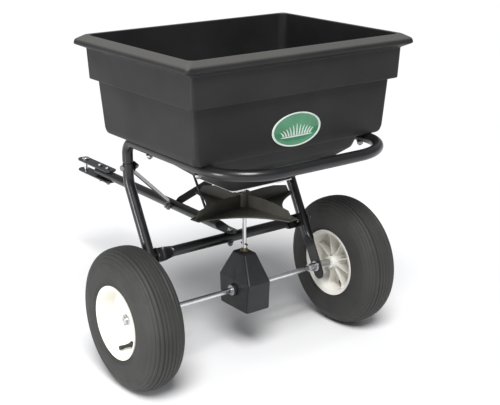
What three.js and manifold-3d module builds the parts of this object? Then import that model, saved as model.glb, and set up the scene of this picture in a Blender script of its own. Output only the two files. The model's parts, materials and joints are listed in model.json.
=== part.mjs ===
// Tow-behind broadcast garden spreader, in millimetres, +Z up.
// X runs across the machine, +Y points forwards to the hitch, and the wheels stand on Z = 0.
// The model is laid out with Y = 0 at the axle, and the whole group is then moved along Y so that
// the origin is the middle of its footprint.

import * as THREE from 'three';
import { mergeVertices } from 'three/addons/utils/BufferGeometryUtils.js';
import Module from 'manifold-3d';

const wasm = await Module();
wasm.setup();

// ---------------------------------------------------------------- driving dimensions

const GAP = 0.3;                    // clearance kept between neighbouring pieces

const WHEEL_SIDES = 24;
const AXLE_Z = 165;
const TYRE_RADIUS = AXLE_Z / Math.cos(Math.PI / WHEEL_SIDES);   // a tyre rests on one flat facet
const WHEEL_X = 310;                // middle plane of each wheel
const RIM_HALF_WIDTH = 48;
const RIM_FLANGE_RADIUS = 85;
const RIM_BARREL_RADIUS = 76;
const HUB_INNER = -44;              // hub ends, measured outwards from the wheel's middle plane
const HUB_OUTER = 17;

const AXLE_RADIUS = 6.35;
const AXLE_HALF_LENGTH = 338;
const AXLE_BORE = AXLE_RADIUS + GAP;

const TUBE_RADIUS = 12.7;
const TUBE_BORE = 11.1;
const TUBE_SIDES = 12;

const RAIL_X = 226;                 // the hopper frame's side rails and the legs
const RAIL_Z = 534;
const REAR_BAR_Y = -279;
const LEG_Y = 143;                  // the legs' upright top ends
const STUB_END_Z = 484;             // lower end of the frame's turned-down tube
const KNEE_Z = 436;
const CROSS_Z = 275;
const BRACE_Z = 470;

const BRACE_STRAP = { thickness: 3, width: 20, tab: 14 };
const CROSS_TAB = { thickness: 4, halfWidth: 12.6, halfHeight: 17 };

const TONGUE_Z = 292;
const TONGUE_FRONT = 712;
const HITCH_BACK = 628;
const HITCH_FRONT = 812;
const HITCH_PIN_Y = 784;
const HITCH_PIN_RADIUS = 6.2;
const HITCH_BOLTS_Y = [654, 696];
const HITCH_PLATE = { halfWidth: 17, thickness: 5 };
const HITCH_PLATE_OFFSET = TUBE_RADIUS + GAP + HITCH_PLATE.thickness / 2;
const BRACE_TONGUE_Y = 312;

const BOLT_RADIUS = 4;
const BOLT_HOLE = BOLT_RADIUS + GAP;

const SHAFT_RADIUS = 5;
const SHAFT_BORE = SHAFT_RADIUS + GAP;
const SHAFT_TOP = 506;
const SHAFT_BOTTOM = 186;

const HOPPER_FLOOR_Z = 438;
const OUTLET_PLATE_TOP = HOPPER_FLOOR_Z - GAP;
const OUTLET_PLATE_THICKNESS = 2.5;
const OUTLET_PLATE_BOTTOM = OUTLET_PLATE_TOP - OUTLET_PLATE_THICKNESS;
const GATE_TOP = OUTLET_PLATE_BOTTOM - 0.4;
const GATE_THICKNESS = 2;
const GATE_HALF_WIDTH = 55;
const GATE_TRAVEL = 30;

const GATE_LINK = { x: 16, y: 100, radius: 3 };

const LEVER_PIVOT = { y: 262, z: 500 };
const LEVER_LOWER_ARM = 67;
const LEVER_TOP_Z = 700;

const IMPELLER = { plateZ: 368, bladeTop: 400, tipRadius: 158, waistRadius: 90, restTurn: 8.2 };

const GEAR_TEETH = 24;
const PINION_TEETH = 8;
const GEAR_PITCH_RADIUS = 40;

// ---------------------------------------------------------------- materials

const COLOURS = {
  blackPlastic: { color: 0x232325, roughness: 0.55, metalness: 0.0 },
  blackPaint: { color: 0x17171a, roughness: 0.3, metalness: 0.2 },
  rubber: { color: 0x2f2f2e, roughness: 0.85, metalness: 0.0 },
  whitePlastic: { color: 0xefece2, roughness: 0.45, metalness: 0.0 },
  zinc: { color: 0xc9cacb, roughness: 0.3, metalness: 0.9 },
  steel: { color: 0x8d8f92, roughness: 0.4, metalness: 0.85 },
  bronze: { color: 0x8f7443, roughness: 0.5, metalness: 0.7 },
  badgeGreen: { color: 0x2f7a4a, roughness: 0.35, metalness: 0.0 },
  grip: { color: 0x1d1d1f, roughness: 0.7, metalness: 0.0 },
};

const spreader = new THREE.Group();

function addPart(name, geometry, finish) {
  const mesh = new THREE.Mesh(geometry, new THREE.MeshStandardMaterial(COLOURS[finish]));
  mesh.name = name;
  spreader.add(mesh);
  return mesh;
}

// ---------------------------------------------------------------- solids

const v = (x, y, z) => new THREE.Vector3(x, y, z);

// Turns the faces outwards if the surface encloses a negative volume.
function outward(geometry) {
  const position = geometry.getAttribute('position');
  const index = geometry.getIndex().array;
  const [a, b, c] = [v(0, 0, 0), v(0, 0, 0), v(0, 0, 0)];
  let volume = 0;
  for (let i = 0; i < index.length; i += 3) {
    a.fromBufferAttribute(position, index[i]);
    b.fromBufferAttribute(position, index[i + 1]);
    c.fromBufferAttribute(position, index[i + 2]);
    volume += a.dot(b.cross(c));
  }
  if (volume < 0) {
    for (let i = 0; i < index.length; i += 3) {
      [index[i + 1], index[i + 2]] = [index[i + 2], index[i + 1]];
    }
  }
  return geometry;
}

function welded(geometry) {
  const bare = geometry.clone();
  bare.deleteAttribute('normal');
  bare.deleteAttribute('uv');
  return outward(mergeVertices(bare, 1e-3));
}

function toManifold(geometry) {
  const closed = welded(geometry);
  return new wasm.Manifold(new wasm.Mesh({
    numProp: 3,
    vertProperties: new Float32Array(closed.getAttribute('position').array),
    triVerts: new Uint32Array(closed.getIndex().array),
  }));
}

function toGeometry(manifold) {
  const mesh = manifold.getMesh();
  const geometry = new THREE.BufferGeometry();
  const points = new Float32Array(mesh.vertProperties);
  geometry.setAttribute('position', new THREE.BufferAttribute(points, 3));
  geometry.setIndex(new THREE.BufferAttribute(new Uint32Array(mesh.triVerts), 1));
  geometry.computeVertexNormals();
  return geometry;
}

const join = (first, ...rest) =>
  toGeometry(rest.reduce((sum, piece) => sum.add(toManifold(piece)), toManifold(first)));
const cut = (base, ...tools) =>
  toGeometry(tools.reduce((left, tool) => left.subtract(toManifold(tool)), toManifold(base)));
const common = (first, second) => toGeometry(toManifold(first).intersect(toManifold(second)));

function boxBetween(low, high) {
  const size = high.clone().sub(low);
  const middle = low.clone().add(high).multiplyScalar(0.5);
  return new THREE.BoxGeometry(size.x, size.y, size.z).translate(middle.x, middle.y, middle.z);
}

// Lays a shape made about the Y axis along the named axis instead.
function alongAxis(geometry, axis) {
  if (axis === 'x') return geometry.rotateZ(-Math.PI / 2);
  if (axis === 'z') return geometry.rotateX(Math.PI / 2);
  return geometry;
}

// A round bar from one point to another; the two points share a line along the named axis.
function bar(axis, start, end, radius, sides = 12) {
  const middle = start.clone().add(end).multiplyScalar(0.5);
  const cylinder = new THREE.CylinderGeometry(radius, radius, start.distanceTo(end), sides);
  return alongAxis(cylinder, axis).translate(middle.x, middle.y, middle.z);
}

// Turns a profile of [place along the axis, radius] pairs. A profile that leaves the axis alone
// is closed on itself.
function turned(axis, profile, sides, startAngle = 0) {
  const points = profile.map(([along, radius]) => new THREE.Vector2(radius, along));
  const touchesAxis = profile[0][1] === 0;
  if (!touchesAxis) points.push(points[0].clone());
  const lathe = new THREE.LatheGeometry(points, sides, startAngle);
  // rotateX sends +Y to +Z and rotateZ(-90 degrees) sends +Y to +X, so the profile keeps its sense.
  return welded(alongAxis(lathe, axis));
}

const sleeve = (axis, low, high, outer, inner, sides = 12) =>
  turned(axis, [[low, inner], [high, inner], [high, outer], [low, outer]], sides);

// A skin through rings that all have the same number of points. An open stack gets flat ends, and
// a closed one joins its last ring to its first.
function loft(rings, closed = false) {
  const count = rings[0].length;
  const points = rings.flat();
  const triangles = [];
  const pairs = closed ? rings.length : rings.length - 1;
  for (let r = 0; r < pairs; r += 1) {
    const next = (r + 1) % rings.length;
    for (let i = 0; i < count; i += 1) {
      const j = (i + 1) % count;
      const [a, b, c, d] = [r * count + i, r * count + j, next * count + j, next * count + i];
      triangles.push(a, b, c, a, c, d);
    }
  }
  if (!closed) {
    const last = (rings.length - 1) * count;
    for (let i = 1; i < count - 1; i += 1) {
      triangles.push(0, i + 1, i);
      triangles.push(last, last + i, last + i + 1);
    }
  }
  const geometry = new THREE.BufferGeometry().setFromPoints(points);
  geometry.setIndex(triangles);
  return outward(geometry);
}

function roundedRect(halfX, halfY, radius, z, cornerSteps = 3) {
  const ring = [];
  const corners = [[1, 1], [-1, 1], [-1, -1], [1, -1]];
  corners.forEach(([signX, signY], quarter) => {
    for (let step = 0; step <= cornerSteps; step += 1) {
      const angle = (quarter + step / cornerSteps) * Math.PI / 2;
      const x = signX * (halfX - radius) + radius * Math.cos(angle);
      const y = signY * (halfY - radius) + radius * Math.sin(angle);
      ring.push(v(x, y, z));
    }
  });
  return ring;
}

// A path through chosen stations, so that straight stretches need no steps of their own.
class StationPath extends THREE.Curve {
  constructor(stations) {
    super();
    this.stations = stations;
  }

  nearest(t) {
    return this.stations[Math.round(t * (this.stations.length - 1))];
  }

  getPoint(t) {
    return this.nearest(t).point.clone();
  }

  getPointAt(t) {
    return this.getPoint(t);
  }

  getTangentAt(t) {
    return this.nearest(t).tangent.clone();
  }
}

// Stations along straight runs joined by round bends: corners are { point, bend, steps }.
function bentStations(corners) {
  const stations = [];
  const direction = (from, to) => to.clone().sub(from).normalize();
  corners.forEach((corner, i) => {
    const before = i > 0 ? direction(corners[i - 1].point, corner.point) : null;
    const after = i < corners.length - 1 ? direction(corner.point, corners[i + 1].point) : null;
    if (!before || !after) {
      stations.push({ point: corner.point, tangent: before ?? after });
      return;
    }
    const turn = before.angleTo(after);
    const setback = corner.bend * Math.tan(turn / 2);
    const inwards = after.clone().sub(before).normalize();
    const centre = corner.point.clone().addScaledVector(inwards, corner.bend / Math.cos(turn / 2));
    const first = corner.point.clone().addScaledVector(before, -setback);
    const axis = before.clone().cross(after).normalize();
    for (let step = 0; step <= corner.steps; step += 1) {
      const angle = turn * step / corner.steps;
      const point = first.clone().sub(centre).applyAxisAngle(axis, angle).add(centre);
      stations.push({ point, tangent: before.clone().applyAxisAngle(axis, angle) });
    }
  });
  return stations;
}

function rod(stations, radius, bore = 0, sides = TUBE_SIDES) {
  const circle = (r) => new THREE.Shape().absarc(0, 0, r, 0, Math.PI * 2, false);
  const section = circle(radius);
  if (bore > 0) section.holes.push(circle(bore));
  return welded(new THREE.ExtrudeGeometry(section, {
    steps: stations.length - 1,
    curveSegments: sides / 2,
    extrudePath: new StationPath(stations),
  }));
}

// An ellipse across a path: the half widths lie along two directions at right angles to it.
function ovalRing(centre, wideAxis, halfWide, thinAxis, halfThin, sides = TUBE_SIDES) {
  return Array.from({ length: sides }, (_, i) => {
    const angle = (i + 0.5) * 2 * Math.PI / sides;
    return centre.clone()
      .addScaledVector(wideAxis, halfWide * Math.cos(angle))
      .addScaledVector(thinAxis, halfThin * Math.sin(angle));
  });
}

// A hexagon-headed bolt with its nut, along one axis. `from` is under the head, `to` is where the
// nut meets the work, and `side` is +1 when the head looks along the positive axis.
function bolt(axis, centre, from, to, radius = BOLT_RADIUS) {
  const at = (place) => {
    const point = centre.clone();
    point[axis] = place;
    return point;
  };
  const side = Math.sign(from - to);
  const headHeight = radius * 1.3;
  const nutHeight = radius * 1.6;
  const tail = 3;
  const head = bar(axis, at(from), at(from + side * headHeight), radius * 1.85, 6);
  const nut = bar(axis, at(to), at(to - side * nutHeight), radius * 1.85, 6);
  const shank = bar(axis, at(from + side), at(to - side * (nutHeight + tail)), radius, 8);
  return join(head, shank, nut);
}

const drill = (axis, centre, from, to, radius, sides = 12) => {
  const start = centre.clone();
  const end = centre.clone();
  start[axis] = from;
  end[axis] = to;
  return bar(axis, start, end, radius, sides);
};

// ---------------------------------------------------------------- hopper and outlet

const HOPPER_SHELF_Z = RAIL_Z + TUBE_RADIUS + GAP;

// Wall rows as [height, half length in X, half length in Y, corner radius], outside then inside.
// The lowest part hangs inside the frame's loop and the shelf above it rests on the rails.
const HOPPER_OUTSIDE = [
  [HOPPER_FLOOR_Z, 88, 75, 14],
  [516, 193, 163, 24],
  [522, 202, 171, 24],
  [HOPPER_SHELF_Z, 206, 175, 22],
  [HOPPER_SHELF_Z, 247, 179, 16],
  [HOPPER_SHELF_Z + 3, 254, 185, 15],
  [HOPPER_SHELF_Z + 8, 258.5, 188, 13],
  [562, 260.5, 189, 12],
  [671, 267, 197, 11],
  [674, 280.5, 213, 10],
  [743, 283, 217, 10],
  [751, 303.5, 231.5, 9],
  [756, 305, 233, 9],
  [763, 303.5, 231.5, 9],
  [769, 297, 225.5, 9],
  [772.5, 290, 219.5, 10],
  [774, 284, 214.5, 10],
];
const HOPPER_INSIDE = [
  [772, 280, 210.5, 20],
  [679, 276.5, 208.8, 19],
  [675, 263, 193, 18],
  [563, 256, 185, 16],
  [HOPPER_SHELF_Z + 7, 251, 180, 16],
  [HOPPER_SHELF_Z + 4.5, 243, 173, 16],
  [HOPPER_SHELF_Z + 4, 202, 171, 20],
  [525, 198, 167, 20],
  [521.5, 191, 160, 20],
  [HOPPER_FLOOR_Z + 4, 86, 72, 12],
  [HOPPER_FLOOR_Z + 4, 62, 46, 12],
  [HOPPER_FLOOR_Z, 62, 46, 12],
];
const HOPPER_WALL = { lowZ: 562, lowY: 189, highZ: 671, highY: 197 };
const HOPPER_WALL_SLOPE = (HOPPER_WALL.highY - HOPPER_WALL.lowY) / (HOPPER_WALL.highZ - HOPPER_WALL.lowZ);
const HOPPER_WALL_LEAN = Math.atan(HOPPER_WALL_SLOPE);

// Outer face of the hopper's front and rear walls at a height.
function hopperWallY(z) {
  return HOPPER_WALL.lowY + (z - HOPPER_WALL.lowZ) * HOPPER_WALL_SLOPE;
}

function makeHopper() {
  const rows = [...HOPPER_OUTSIDE, ...HOPPER_INSIDE];
  const rings = rows.map(([z, halfX, halfY, radius]) => roundedRect(halfX, halfY, radius, z));
  return loft(rings, true);
}

function makeBadge() {
  const centreZ = 592;
  const oval = new THREE.Shape().absellipse(0, 0, 67, 38, 0, Math.PI * 2);
  const plate = new THREE.ExtrudeGeometry(oval, { depth: 2.5, bevelEnabled: false, curveSegments: 18 });
  plate.rotateX(Math.PI / 2 + HOPPER_WALL_LEAN).translate(0, -hopperWallY(centreZ) - GAP, centreZ);
  return welded(plate);
}

const PORT = { x: 27, y: -22, halfX: 10, halfY: 13 };

function flatPlate(outline, holes, bottom, thickness) {
  outline.holes.push(...holes);
  const plate = new THREE.ExtrudeGeometry(outline, {
    depth: thickness, bevelEnabled: false, curveSegments: 6,
  });
  return welded(plate.translate(0, 0, bottom));
}

const roundHole = (x, y, radius) => new THREE.Path().absarc(x, y, radius, 0, Math.PI * 2, true);
const portHoles = (shiftY) => [-1, 1].map((side) => new THREE.Path()
  .absellipse(side * PORT.x, PORT.y + shiftY, PORT.halfX, PORT.halfY, 0, Math.PI * 2, true));

// A notch in the front edge leaves room for the link when the gate is fully open.
function makeOutletPlate() {
  const [halfX, halfY] = [84, 72];
  const notch = { halfWidth: 6, depth: 10 };
  const notchY = halfY - notch.depth;
  const outline = new THREE.Shape([
    new THREE.Vector2(-halfX, -halfY), new THREE.Vector2(halfX, -halfY), new THREE.Vector2(halfX, halfY),
    new THREE.Vector2(GATE_LINK.x + notch.halfWidth, halfY),
    new THREE.Vector2(GATE_LINK.x + notch.halfWidth, notchY),
    new THREE.Vector2(GATE_LINK.x - notch.halfWidth, notchY),
    new THREE.Vector2(GATE_LINK.x - notch.halfWidth, halfY), new THREE.Vector2(-halfX, halfY),
  ]);
  const holes = [roundHole(0, 0, 8), ...portHoles(0)];
  return flatPlate(outline, holes, OUTLET_PLATE_BOTTOM, OUTLET_PLATE_THICKNESS);
}

// The shaft stands in a long slot, because the gate slides backwards past it.
function makeSlideGate() {
  const halfSlot = 8;
  const slot = new THREE.Path()
    .absarc(0, 0, halfSlot, Math.PI, 0, false)
    .absarc(0, GATE_TRAVEL, halfSlot, 0, Math.PI, false);
  slot.closePath();
  const linkHole = roundHole(GATE_LINK.x, GATE_LINK.y, GATE_LINK.radius + GAP);
  const holes = [slot, ...portHoles(GATE_TRAVEL), linkHole];
  const outline = new THREE.Shape([
    new THREE.Vector2(-GATE_HALF_WIDTH, -45), new THREE.Vector2(GATE_HALF_WIDTH, -45),
    new THREE.Vector2(GATE_HALF_WIDTH, 80), new THREE.Vector2(26, 112),
    new THREE.Vector2(-26, 112), new THREE.Vector2(-GATE_HALF_WIDTH, 80),
  ]);
  return flatPlate(outline, holes, GATE_TOP - GATE_THICKNESS, GATE_THICKNESS);
}

function makeGateGuide(side) {
  const top = OUTLET_PLATE_BOTTOM - GAP;
  const lipTop = GATE_TOP - GATE_THICKNESS - GAP;
  const lipBottom = lipTop - 2;
  const gateEdge = GATE_HALF_WIDTH + 0.6;
  const profile = new THREE.Shape([
    new THREE.Vector2(48, lipBottom), new THREE.Vector2(69, lipBottom),
    new THREE.Vector2(69, top), new THREE.Vector2(gateEdge, top),
    new THREE.Vector2(gateEdge, lipTop), new THREE.Vector2(48, lipTop),
  ]);
  const length = 130;
  const strip = new THREE.ExtrudeGeometry(profile, { depth: length, bevelEnabled: false });
  strip.rotateX(Math.PI / 2).translate(0, length / 2, 0);
  return welded(strip.scale(side, 1, 1));
}

function makeShaftGuideBush() {
  const profile = [
    [OUTLET_PLATE_BOTTOM, SHAFT_BORE], [OUTLET_PLATE_TOP + 4, SHAFT_BORE],
    [OUTLET_PLATE_TOP + 4, 12], [OUTLET_PLATE_TOP + GAP, 12],
    [OUTLET_PLATE_TOP + GAP, 7.5], [OUTLET_PLATE_BOTTOM, 7.5],
  ];
  return turned('z', profile, 16);
}

function addHopperGroup() {
  addPart('hopper', makeHopper(), 'blackPlastic');
  addPart('badge', makeBadge(), 'badgeGreen');
  addPart('outlet_plate', makeOutletPlate(), 'steel');
  addPart('slide_gate', makeSlideGate(), 'zinc');
  addPart('gate_guide_left', makeGateGuide(-1), 'zinc');
  addPart('gate_guide_right', makeGateGuide(1), 'zinc');
  addPart('shaft_guide_bush', makeShaftGuideBush(), 'bronze');
}

// ---------------------------------------------------------------- flow control

const BRACKET_X = 3.5;              // the bracket's web, with the lever on its right
const BRACKET_THICKNESS = 3;
const LEVER_X = BRACKET_X + BRACKET_THICKNESS + GAP;
const LEVER_THICKNESS = 4;
const LINK_Z = LEVER_PIVOT.z - LEVER_LOWER_ARM;

// A flat piece standing in the Y-Z plane, drawn as (y, z) and given thickness along X.
function uprightPlate(outline, holes, lowX, thickness) {
  outline.holes.push(...holes);
  const plate = new THREE.ExtrudeGeometry(outline, {
    depth: thickness, bevelEnabled: false, curveSegments: 6,
  });
  // The drawing's x becomes Y, its y becomes Z and the depth becomes X.
  const turn = new THREE.Matrix4().makeBasis(v(0, 1, 0), v(0, 0, 1), v(1, 0, 0));
  return welded(plate.applyMatrix4(turn).translate(lowX, 0, 0));
}

// The slot lets the link keep level while the lever's lower end swings on an arc.
function makeFlowLever() {
  const { y, z } = LEVER_PIVOT;
  const outline = new THREE.Shape();
  outline.absarc(y, LEVER_TOP_Z, 7, 0, Math.PI, false);
  outline.absarc(y, LINK_Z - 6, 9, Math.PI, Math.PI * 2, false);
  outline.closePath();
  const halfSlot = GATE_LINK.radius + 1.2;
  const pinDrop = Math.hypot(LEVER_LOWER_ARM, GATE_TRAVEL) - LEVER_LOWER_ARM;
  const slot = new THREE.Path()
    .absarc(y, LINK_Z, halfSlot, 0, Math.PI, false)
    .absarc(y, LINK_Z - pinDrop, halfSlot, Math.PI, Math.PI * 2, false);
  slot.closePath();
  return uprightPlate(outline, [slot, roundHole(y, z, BOLT_HOLE)], LEVER_X, LEVER_THICKNESS);
}

function makeLeverGrip() {
  const low = LEVER_TOP_Z - 75;
  const profile = [[low, 0], [low, 12], [low + 10, 13.5], [LEVER_TOP_Z, 13.5],
    [LEVER_TOP_Z + 9, 11], [LEVER_TOP_Z + 12, 0]];
  const grip = turned('z', profile, 14).translate(LEVER_X + LEVER_THICKNESS / 2, LEVER_PIVOT.y, 0);
  const pocket = boxBetween(
    v(LEVER_X - GAP, LEVER_PIVOT.y - 9.5, low - 1),
    v(LEVER_X + LEVER_THICKNESS + GAP, LEVER_PIVOT.y + 9.5, LEVER_TOP_Z + 7 + GAP),
  );
  return cut(grip, pocket);
}

// The bracket's flange is screwed to the hopper's front wall. Its web carries the lever's pivot
// and an arc slot for the stop screw.
function makeFlowBracket() {
  const { y, z } = LEVER_PIVOT;
  const flangeLow = 572;
  const flangeHigh = 612;
  const middleZ = (flangeLow + flangeHigh) / 2;
  const wallY = hopperWallY(middleZ);
  const web = new THREE.Shape([
    new THREE.Vector2(wallY, flangeLow), new THREE.Vector2(y - 18, z - 14),
    new THREE.Vector2(y + 12, z - 14), new THREE.Vector2(y + 18, z + 6),
    new THREE.Vector2(y + 56, z + 78), new THREE.Vector2(y + 46, z + 98),
    new THREE.Vector2(wallY, flangeHigh),
  ]);
  const slotRadius = 88;
  const slotHalfWidth = 3.5;
  const slotStart = Math.PI * 0.35;
  const slotEnd = Math.PI * 0.52;
  const slot = new THREE.Path()
    .absarc(y, z, slotRadius + slotHalfWidth, slotStart, slotEnd, false)
    .absarc(y, z, slotRadius - slotHalfWidth, slotEnd, slotStart, true);
  slot.closePath();
  const holes = [slot, roundHole(y, z, BOLT_HOLE)];
  const plate = uprightPlate(web, holes, BRACKET_X, BRACKET_THICKNESS);
  const inner = v(BRACKET_X - 26, wallY - 4, flangeLow);
  const flange = boxBetween(inner, v(BRACKET_X + 1, wallY + 4.5, flangeHigh));
  const wall = boxBetween(v(-60, -40, -80), v(60, 0, 80))
    .rotateX(-HOPPER_WALL_LEAN).translate(0, wallY + GAP, middleZ);
  return cut(join(plate, flange), wall);
}

function makeLeverPivotBolt() {
  const centre = v(0, LEVER_PIVOT.y, LEVER_PIVOT.z);
  return bolt('x', centre, BRACKET_X - GAP, LEVER_X + LEVER_THICKNESS + GAP);
}

// The link runs forwards from the gate and turns sideways through the lever's slot.
function makeGateLink() {
  const { x, y, radius } = GATE_LINK;
  const runZ = GATE_TOP - GATE_THICKNESS - 14;
  const bend = 8;
  const stations = bentStations([
    { point: v(x, y, GATE_TOP + 3) },
    { point: v(x, y, runZ), bend, steps: 3 },
    { point: v(x, LEVER_PIVOT.y - 30, runZ), bend, steps: 2 },
    { point: v(x, LEVER_PIVOT.y, LINK_Z), bend: 5, steps: 3 },
    { point: v(LEVER_X - 2, LEVER_PIVOT.y, LINK_Z) },
  ]);
  return rod(stations, radius, 0, 8);
}

// A round stay from the tongue up to the foot of the bracket.
function makeFlowStay() {
  const radius = 3.2;
  const footZ = TONGUE_Z + TUBE_RADIUS + GAP + radius;
  const stations = bentStations([
    { point: v(0, 124, footZ) },
    { point: v(0, 155, footZ), bend: 12, steps: 3 },
    { point: v(0, 236, 431), bend: 40, steps: 3 },
    { point: v(0, 248, 488) },
  ]);
  return rod(stations, radius, 0, 8);
}

function addFlowControl() {
  addPart('flow_lever', makeFlowLever(), 'zinc');
  addPart('lever_grip', makeLeverGrip(), 'grip');
  addPart('flow_bracket', makeFlowBracket(), 'blackPaint');
  addPart('lever_pivot_bolt', makeLeverPivotBolt(), 'zinc');
  addPart('gate_link', makeGateLink(), 'zinc');
  addPart('flow_stay', makeFlowStay(), 'blackPaint');
}

// ---------------------------------------------------------------- frame

const sides = [['left', -1], ['right', 1]];

function makeHopperFrame() {
  const frontBend = 32;
  const rearBend = 118;
  return rod(bentStations([
    { point: v(-RAIL_X, LEG_Y, STUB_END_Z) },
    { point: v(-RAIL_X, LEG_Y, RAIL_Z), bend: frontBend, steps: 5 },
    { point: v(-RAIL_X, REAR_BAR_Y, RAIL_Z), bend: rearBend, steps: 6 },
    { point: v(RAIL_X, REAR_BAR_Y, RAIL_Z), bend: rearBend, steps: 6 },
    { point: v(RAIL_X, LEG_Y, RAIL_Z), bend: frontBend, steps: 5 },
    { point: v(RAIL_X, LEG_Y, STUB_END_Z) },
  ]), TUBE_RADIUS, TUBE_BORE);
}

// The legs lean forwards from the axle to the knee, then stand upright.
const LEG_UP = v(0, LEG_Y, KNEE_Z - AXLE_Z).normalize();
const LEG_FORWARD = v(0, LEG_UP.z, -LEG_UP.y);
const CROSS_Y = (CROSS_Z - AXLE_Z) * LEG_UP.y / LEG_UP.z;
const FOOT_THICKNESS = 4;

// Rows of [distance up the leg from the axle, half width, half thickness].
const FOOT_ROWS = [[-34, 6, 2], [-31, 11.5, 2], [-24, 16.5, 2], [-15, 18.5, 2], [42, 18.5, 2]];

function legRings(x, rows, kneeRadius, topRows) {
  const axle = v(x, 0, AXLE_Z);
  const across = v(1, 0, 0);
  const rings = rows.map(([along, wide, thin]) =>
    ovalRing(axle.clone().addScaledVector(LEG_UP, along), LEG_FORWARD, wide, across, thin));
  const knee = bentStations([
    { point: axle },
    { point: v(x, LEG_Y, KNEE_Z), bend: 70, steps: 3 },
    { point: v(x, LEG_Y, STUB_END_Z) },
  ]).slice(1, -1);
  knee.forEach(({ point, tangent }) => {
    const forward = v(0, tangent.z, -tangent.y);
    rings.push(ovalRing(point, forward, kneeRadius, across, kneeRadius));
  });
  topRows.forEach(([z, radius]) => {
    rings.push(ovalRing(v(x, LEG_Y, z), v(0, 1, 0), radius, across, radius));
  });
  return rings;
}

function makeLeg(side) {
  const x = side * RAIL_X;
  const neck = TUBE_BORE - 0.4;
  const neckBore = neck - (TUBE_RADIUS - TUBE_BORE);
  const shoulderZ = STUB_END_Z - 4;
  const topZ = STUB_END_Z + 9;
  const skin = loft(legRings(x, [...FOOT_ROWS, [92, TUBE_RADIUS, TUBE_RADIUS]], TUBE_RADIUS,
    [[shoulderZ, TUBE_RADIUS], [shoulderZ, neck], [topZ, neck]]));
  const hollow = loft(legRings(x, [[80, 8, 4], [104, TUBE_BORE, TUBE_BORE]], TUBE_BORE,
    [[shoulderZ - 4, TUBE_BORE], [shoulderZ, neckBore], [topZ + 1, neckBore]]));
  const reach = TUBE_RADIUS + 2;
  const hole = (y, z, radius) => drill('x', v(x, y, z), x - reach, x + reach, radius);
  return cut(skin, hollow, hole(0, AXLE_Z, 9.5), hole(CROSS_Y, CROSS_Z, BOLT_HOLE),
    hole(LEG_Y, BRACE_Z, BOLT_HOLE));
}

// Each end is pressed flat against the front of the bolt's head, and a tab lies on the leg.
function makeCrossTube() {
  const tabX = RAIL_X - TUBE_RADIUS - GAP;
  const { thickness, halfWidth, halfHeight } = CROSS_TAB;
  const halfFlat = 2;
  const flatForward = halfWidth - halfFlat;
  const rows = [[tabX - 1, flatForward, halfFlat, halfHeight], [tabX - 24, flatForward, halfFlat, halfHeight],
    [tabX - 46, 0, TUBE_RADIUS, TUBE_RADIUS]];
  const mirrored = rows.map(([x, ...rest]) => [-x, ...rest]);
  const stack = [...rows, ...mirrored.reverse()];
  const centre = (x, forward) => v(x, CROSS_Y, CROSS_Z).addScaledVector(LEG_FORWARD, forward);
  const skin = loft(stack.map(([x, forward, thin, high]) =>
    ovalRing(centre(x, forward), LEG_FORWARD, thin, LEG_UP, high)));
  const boreEnd = tabX - 60;
  const hollow = bar('x', centre(-boreEnd, 0), centre(boreEnd, 0), TUBE_BORE);
  const frame = new THREE.Matrix4().makeBasis(v(1, 0, 0), LEG_FORWARD, LEG_UP);
  const tabs = sides.map(([, side]) => {
    const low = v(tabX - thickness, -halfWidth, -halfHeight);
    const high = v(tabX, halfWidth, halfHeight);
    return boxBetween(low, high).scale(side, 1, 1).applyMatrix4(frame).translate(0, CROSS_Y, CROSS_Z);
  });
  const tabHoles = sides.map(([, side]) =>
    drill('x', v(0, CROSS_Y, CROSS_Z), side * (tabX - 7), side * (tabX + 3), BOLT_HOLE));
  const boltHole = drill('z', v(0, CROSS_Y, 0), CROSS_Z - 20, CROSS_Z + 20, BOLT_HOLE);
  return cut(join(skin, ...tabs), hollow, boltHole, ...tabHoles);
}

const TONGUE_FLAT_THICKNESS = 4.4;

function makeTongue() {
  const flatZ = CROSS_Z + TUBE_RADIUS + GAP + TONGUE_FLAT_THICKNESS / 2;
  const thin = TONGUE_FLAT_THICKNESS / 2;
  // Rows of [place along Y, height, half width, half thickness].
  const rows = [[CROSS_Y - 18, flatZ, 8, thin], [CROSS_Y - 14, flatZ, 14, thin],
    [CROSS_Y - 6, flatZ, 18, thin], [CROSS_Y + 24, flatZ, 18, thin],
    [CROSS_Y + 54, TONGUE_Z, TUBE_RADIUS, TUBE_RADIUS],
    [TONGUE_FRONT, TONGUE_Z, TUBE_RADIUS, TUBE_RADIUS]];
  const ring = ([y, z, wide, high]) => ovalRing(v(0, y, z), v(1, 0, 0), wide, v(0, 0, 1), high);
  const boreRows = [[CROSS_Y + 44, TONGUE_Z, 9, 5], [CROSS_Y + 66, TONGUE_Z, TUBE_BORE, TUBE_BORE],
    [TONGUE_FRONT + 1, TONGUE_Z, TUBE_BORE, TUBE_BORE]];
  const upright = (y) => drill('z', v(0, y, 0), TONGUE_Z - 20, TONGUE_Z + 20, BOLT_HOLE);
  const braceHole = drill('x', v(0, BRACE_TONGUE_Y, TONGUE_Z), -20, 20, BOLT_HOLE);
  return cut(loft(rows.map(ring)), loft(boreRows.map(ring)), upright(CROSS_Y),
    ...HITCH_BOLTS_Y.map(upright), braceHole);
}

// The outline of a bent strip: a middle line given thickness, mitred at its bends.
function stripOutline(line, thickness) {
  const offset = (side) => line.map((point, i) => {
    const before = i > 0 ? point.clone().sub(line[i - 1]).normalize() : null;
    const after = i < line.length - 1 ? line[i + 1].clone().sub(point).normalize() : null;
    const into = before ?? after;
    const out = after ?? before;
    const bisector = into.clone().add(out).normalize();
    const normal = new THREE.Vector2(-bisector.y, bisector.x);
    const stretch = thickness / 2 / bisector.dot(into);
    return point.clone().addScaledVector(normal, side * stretch);
  });
  return new THREE.Shape([...offset(1), ...offset(-1).reverse()]);
}

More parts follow.
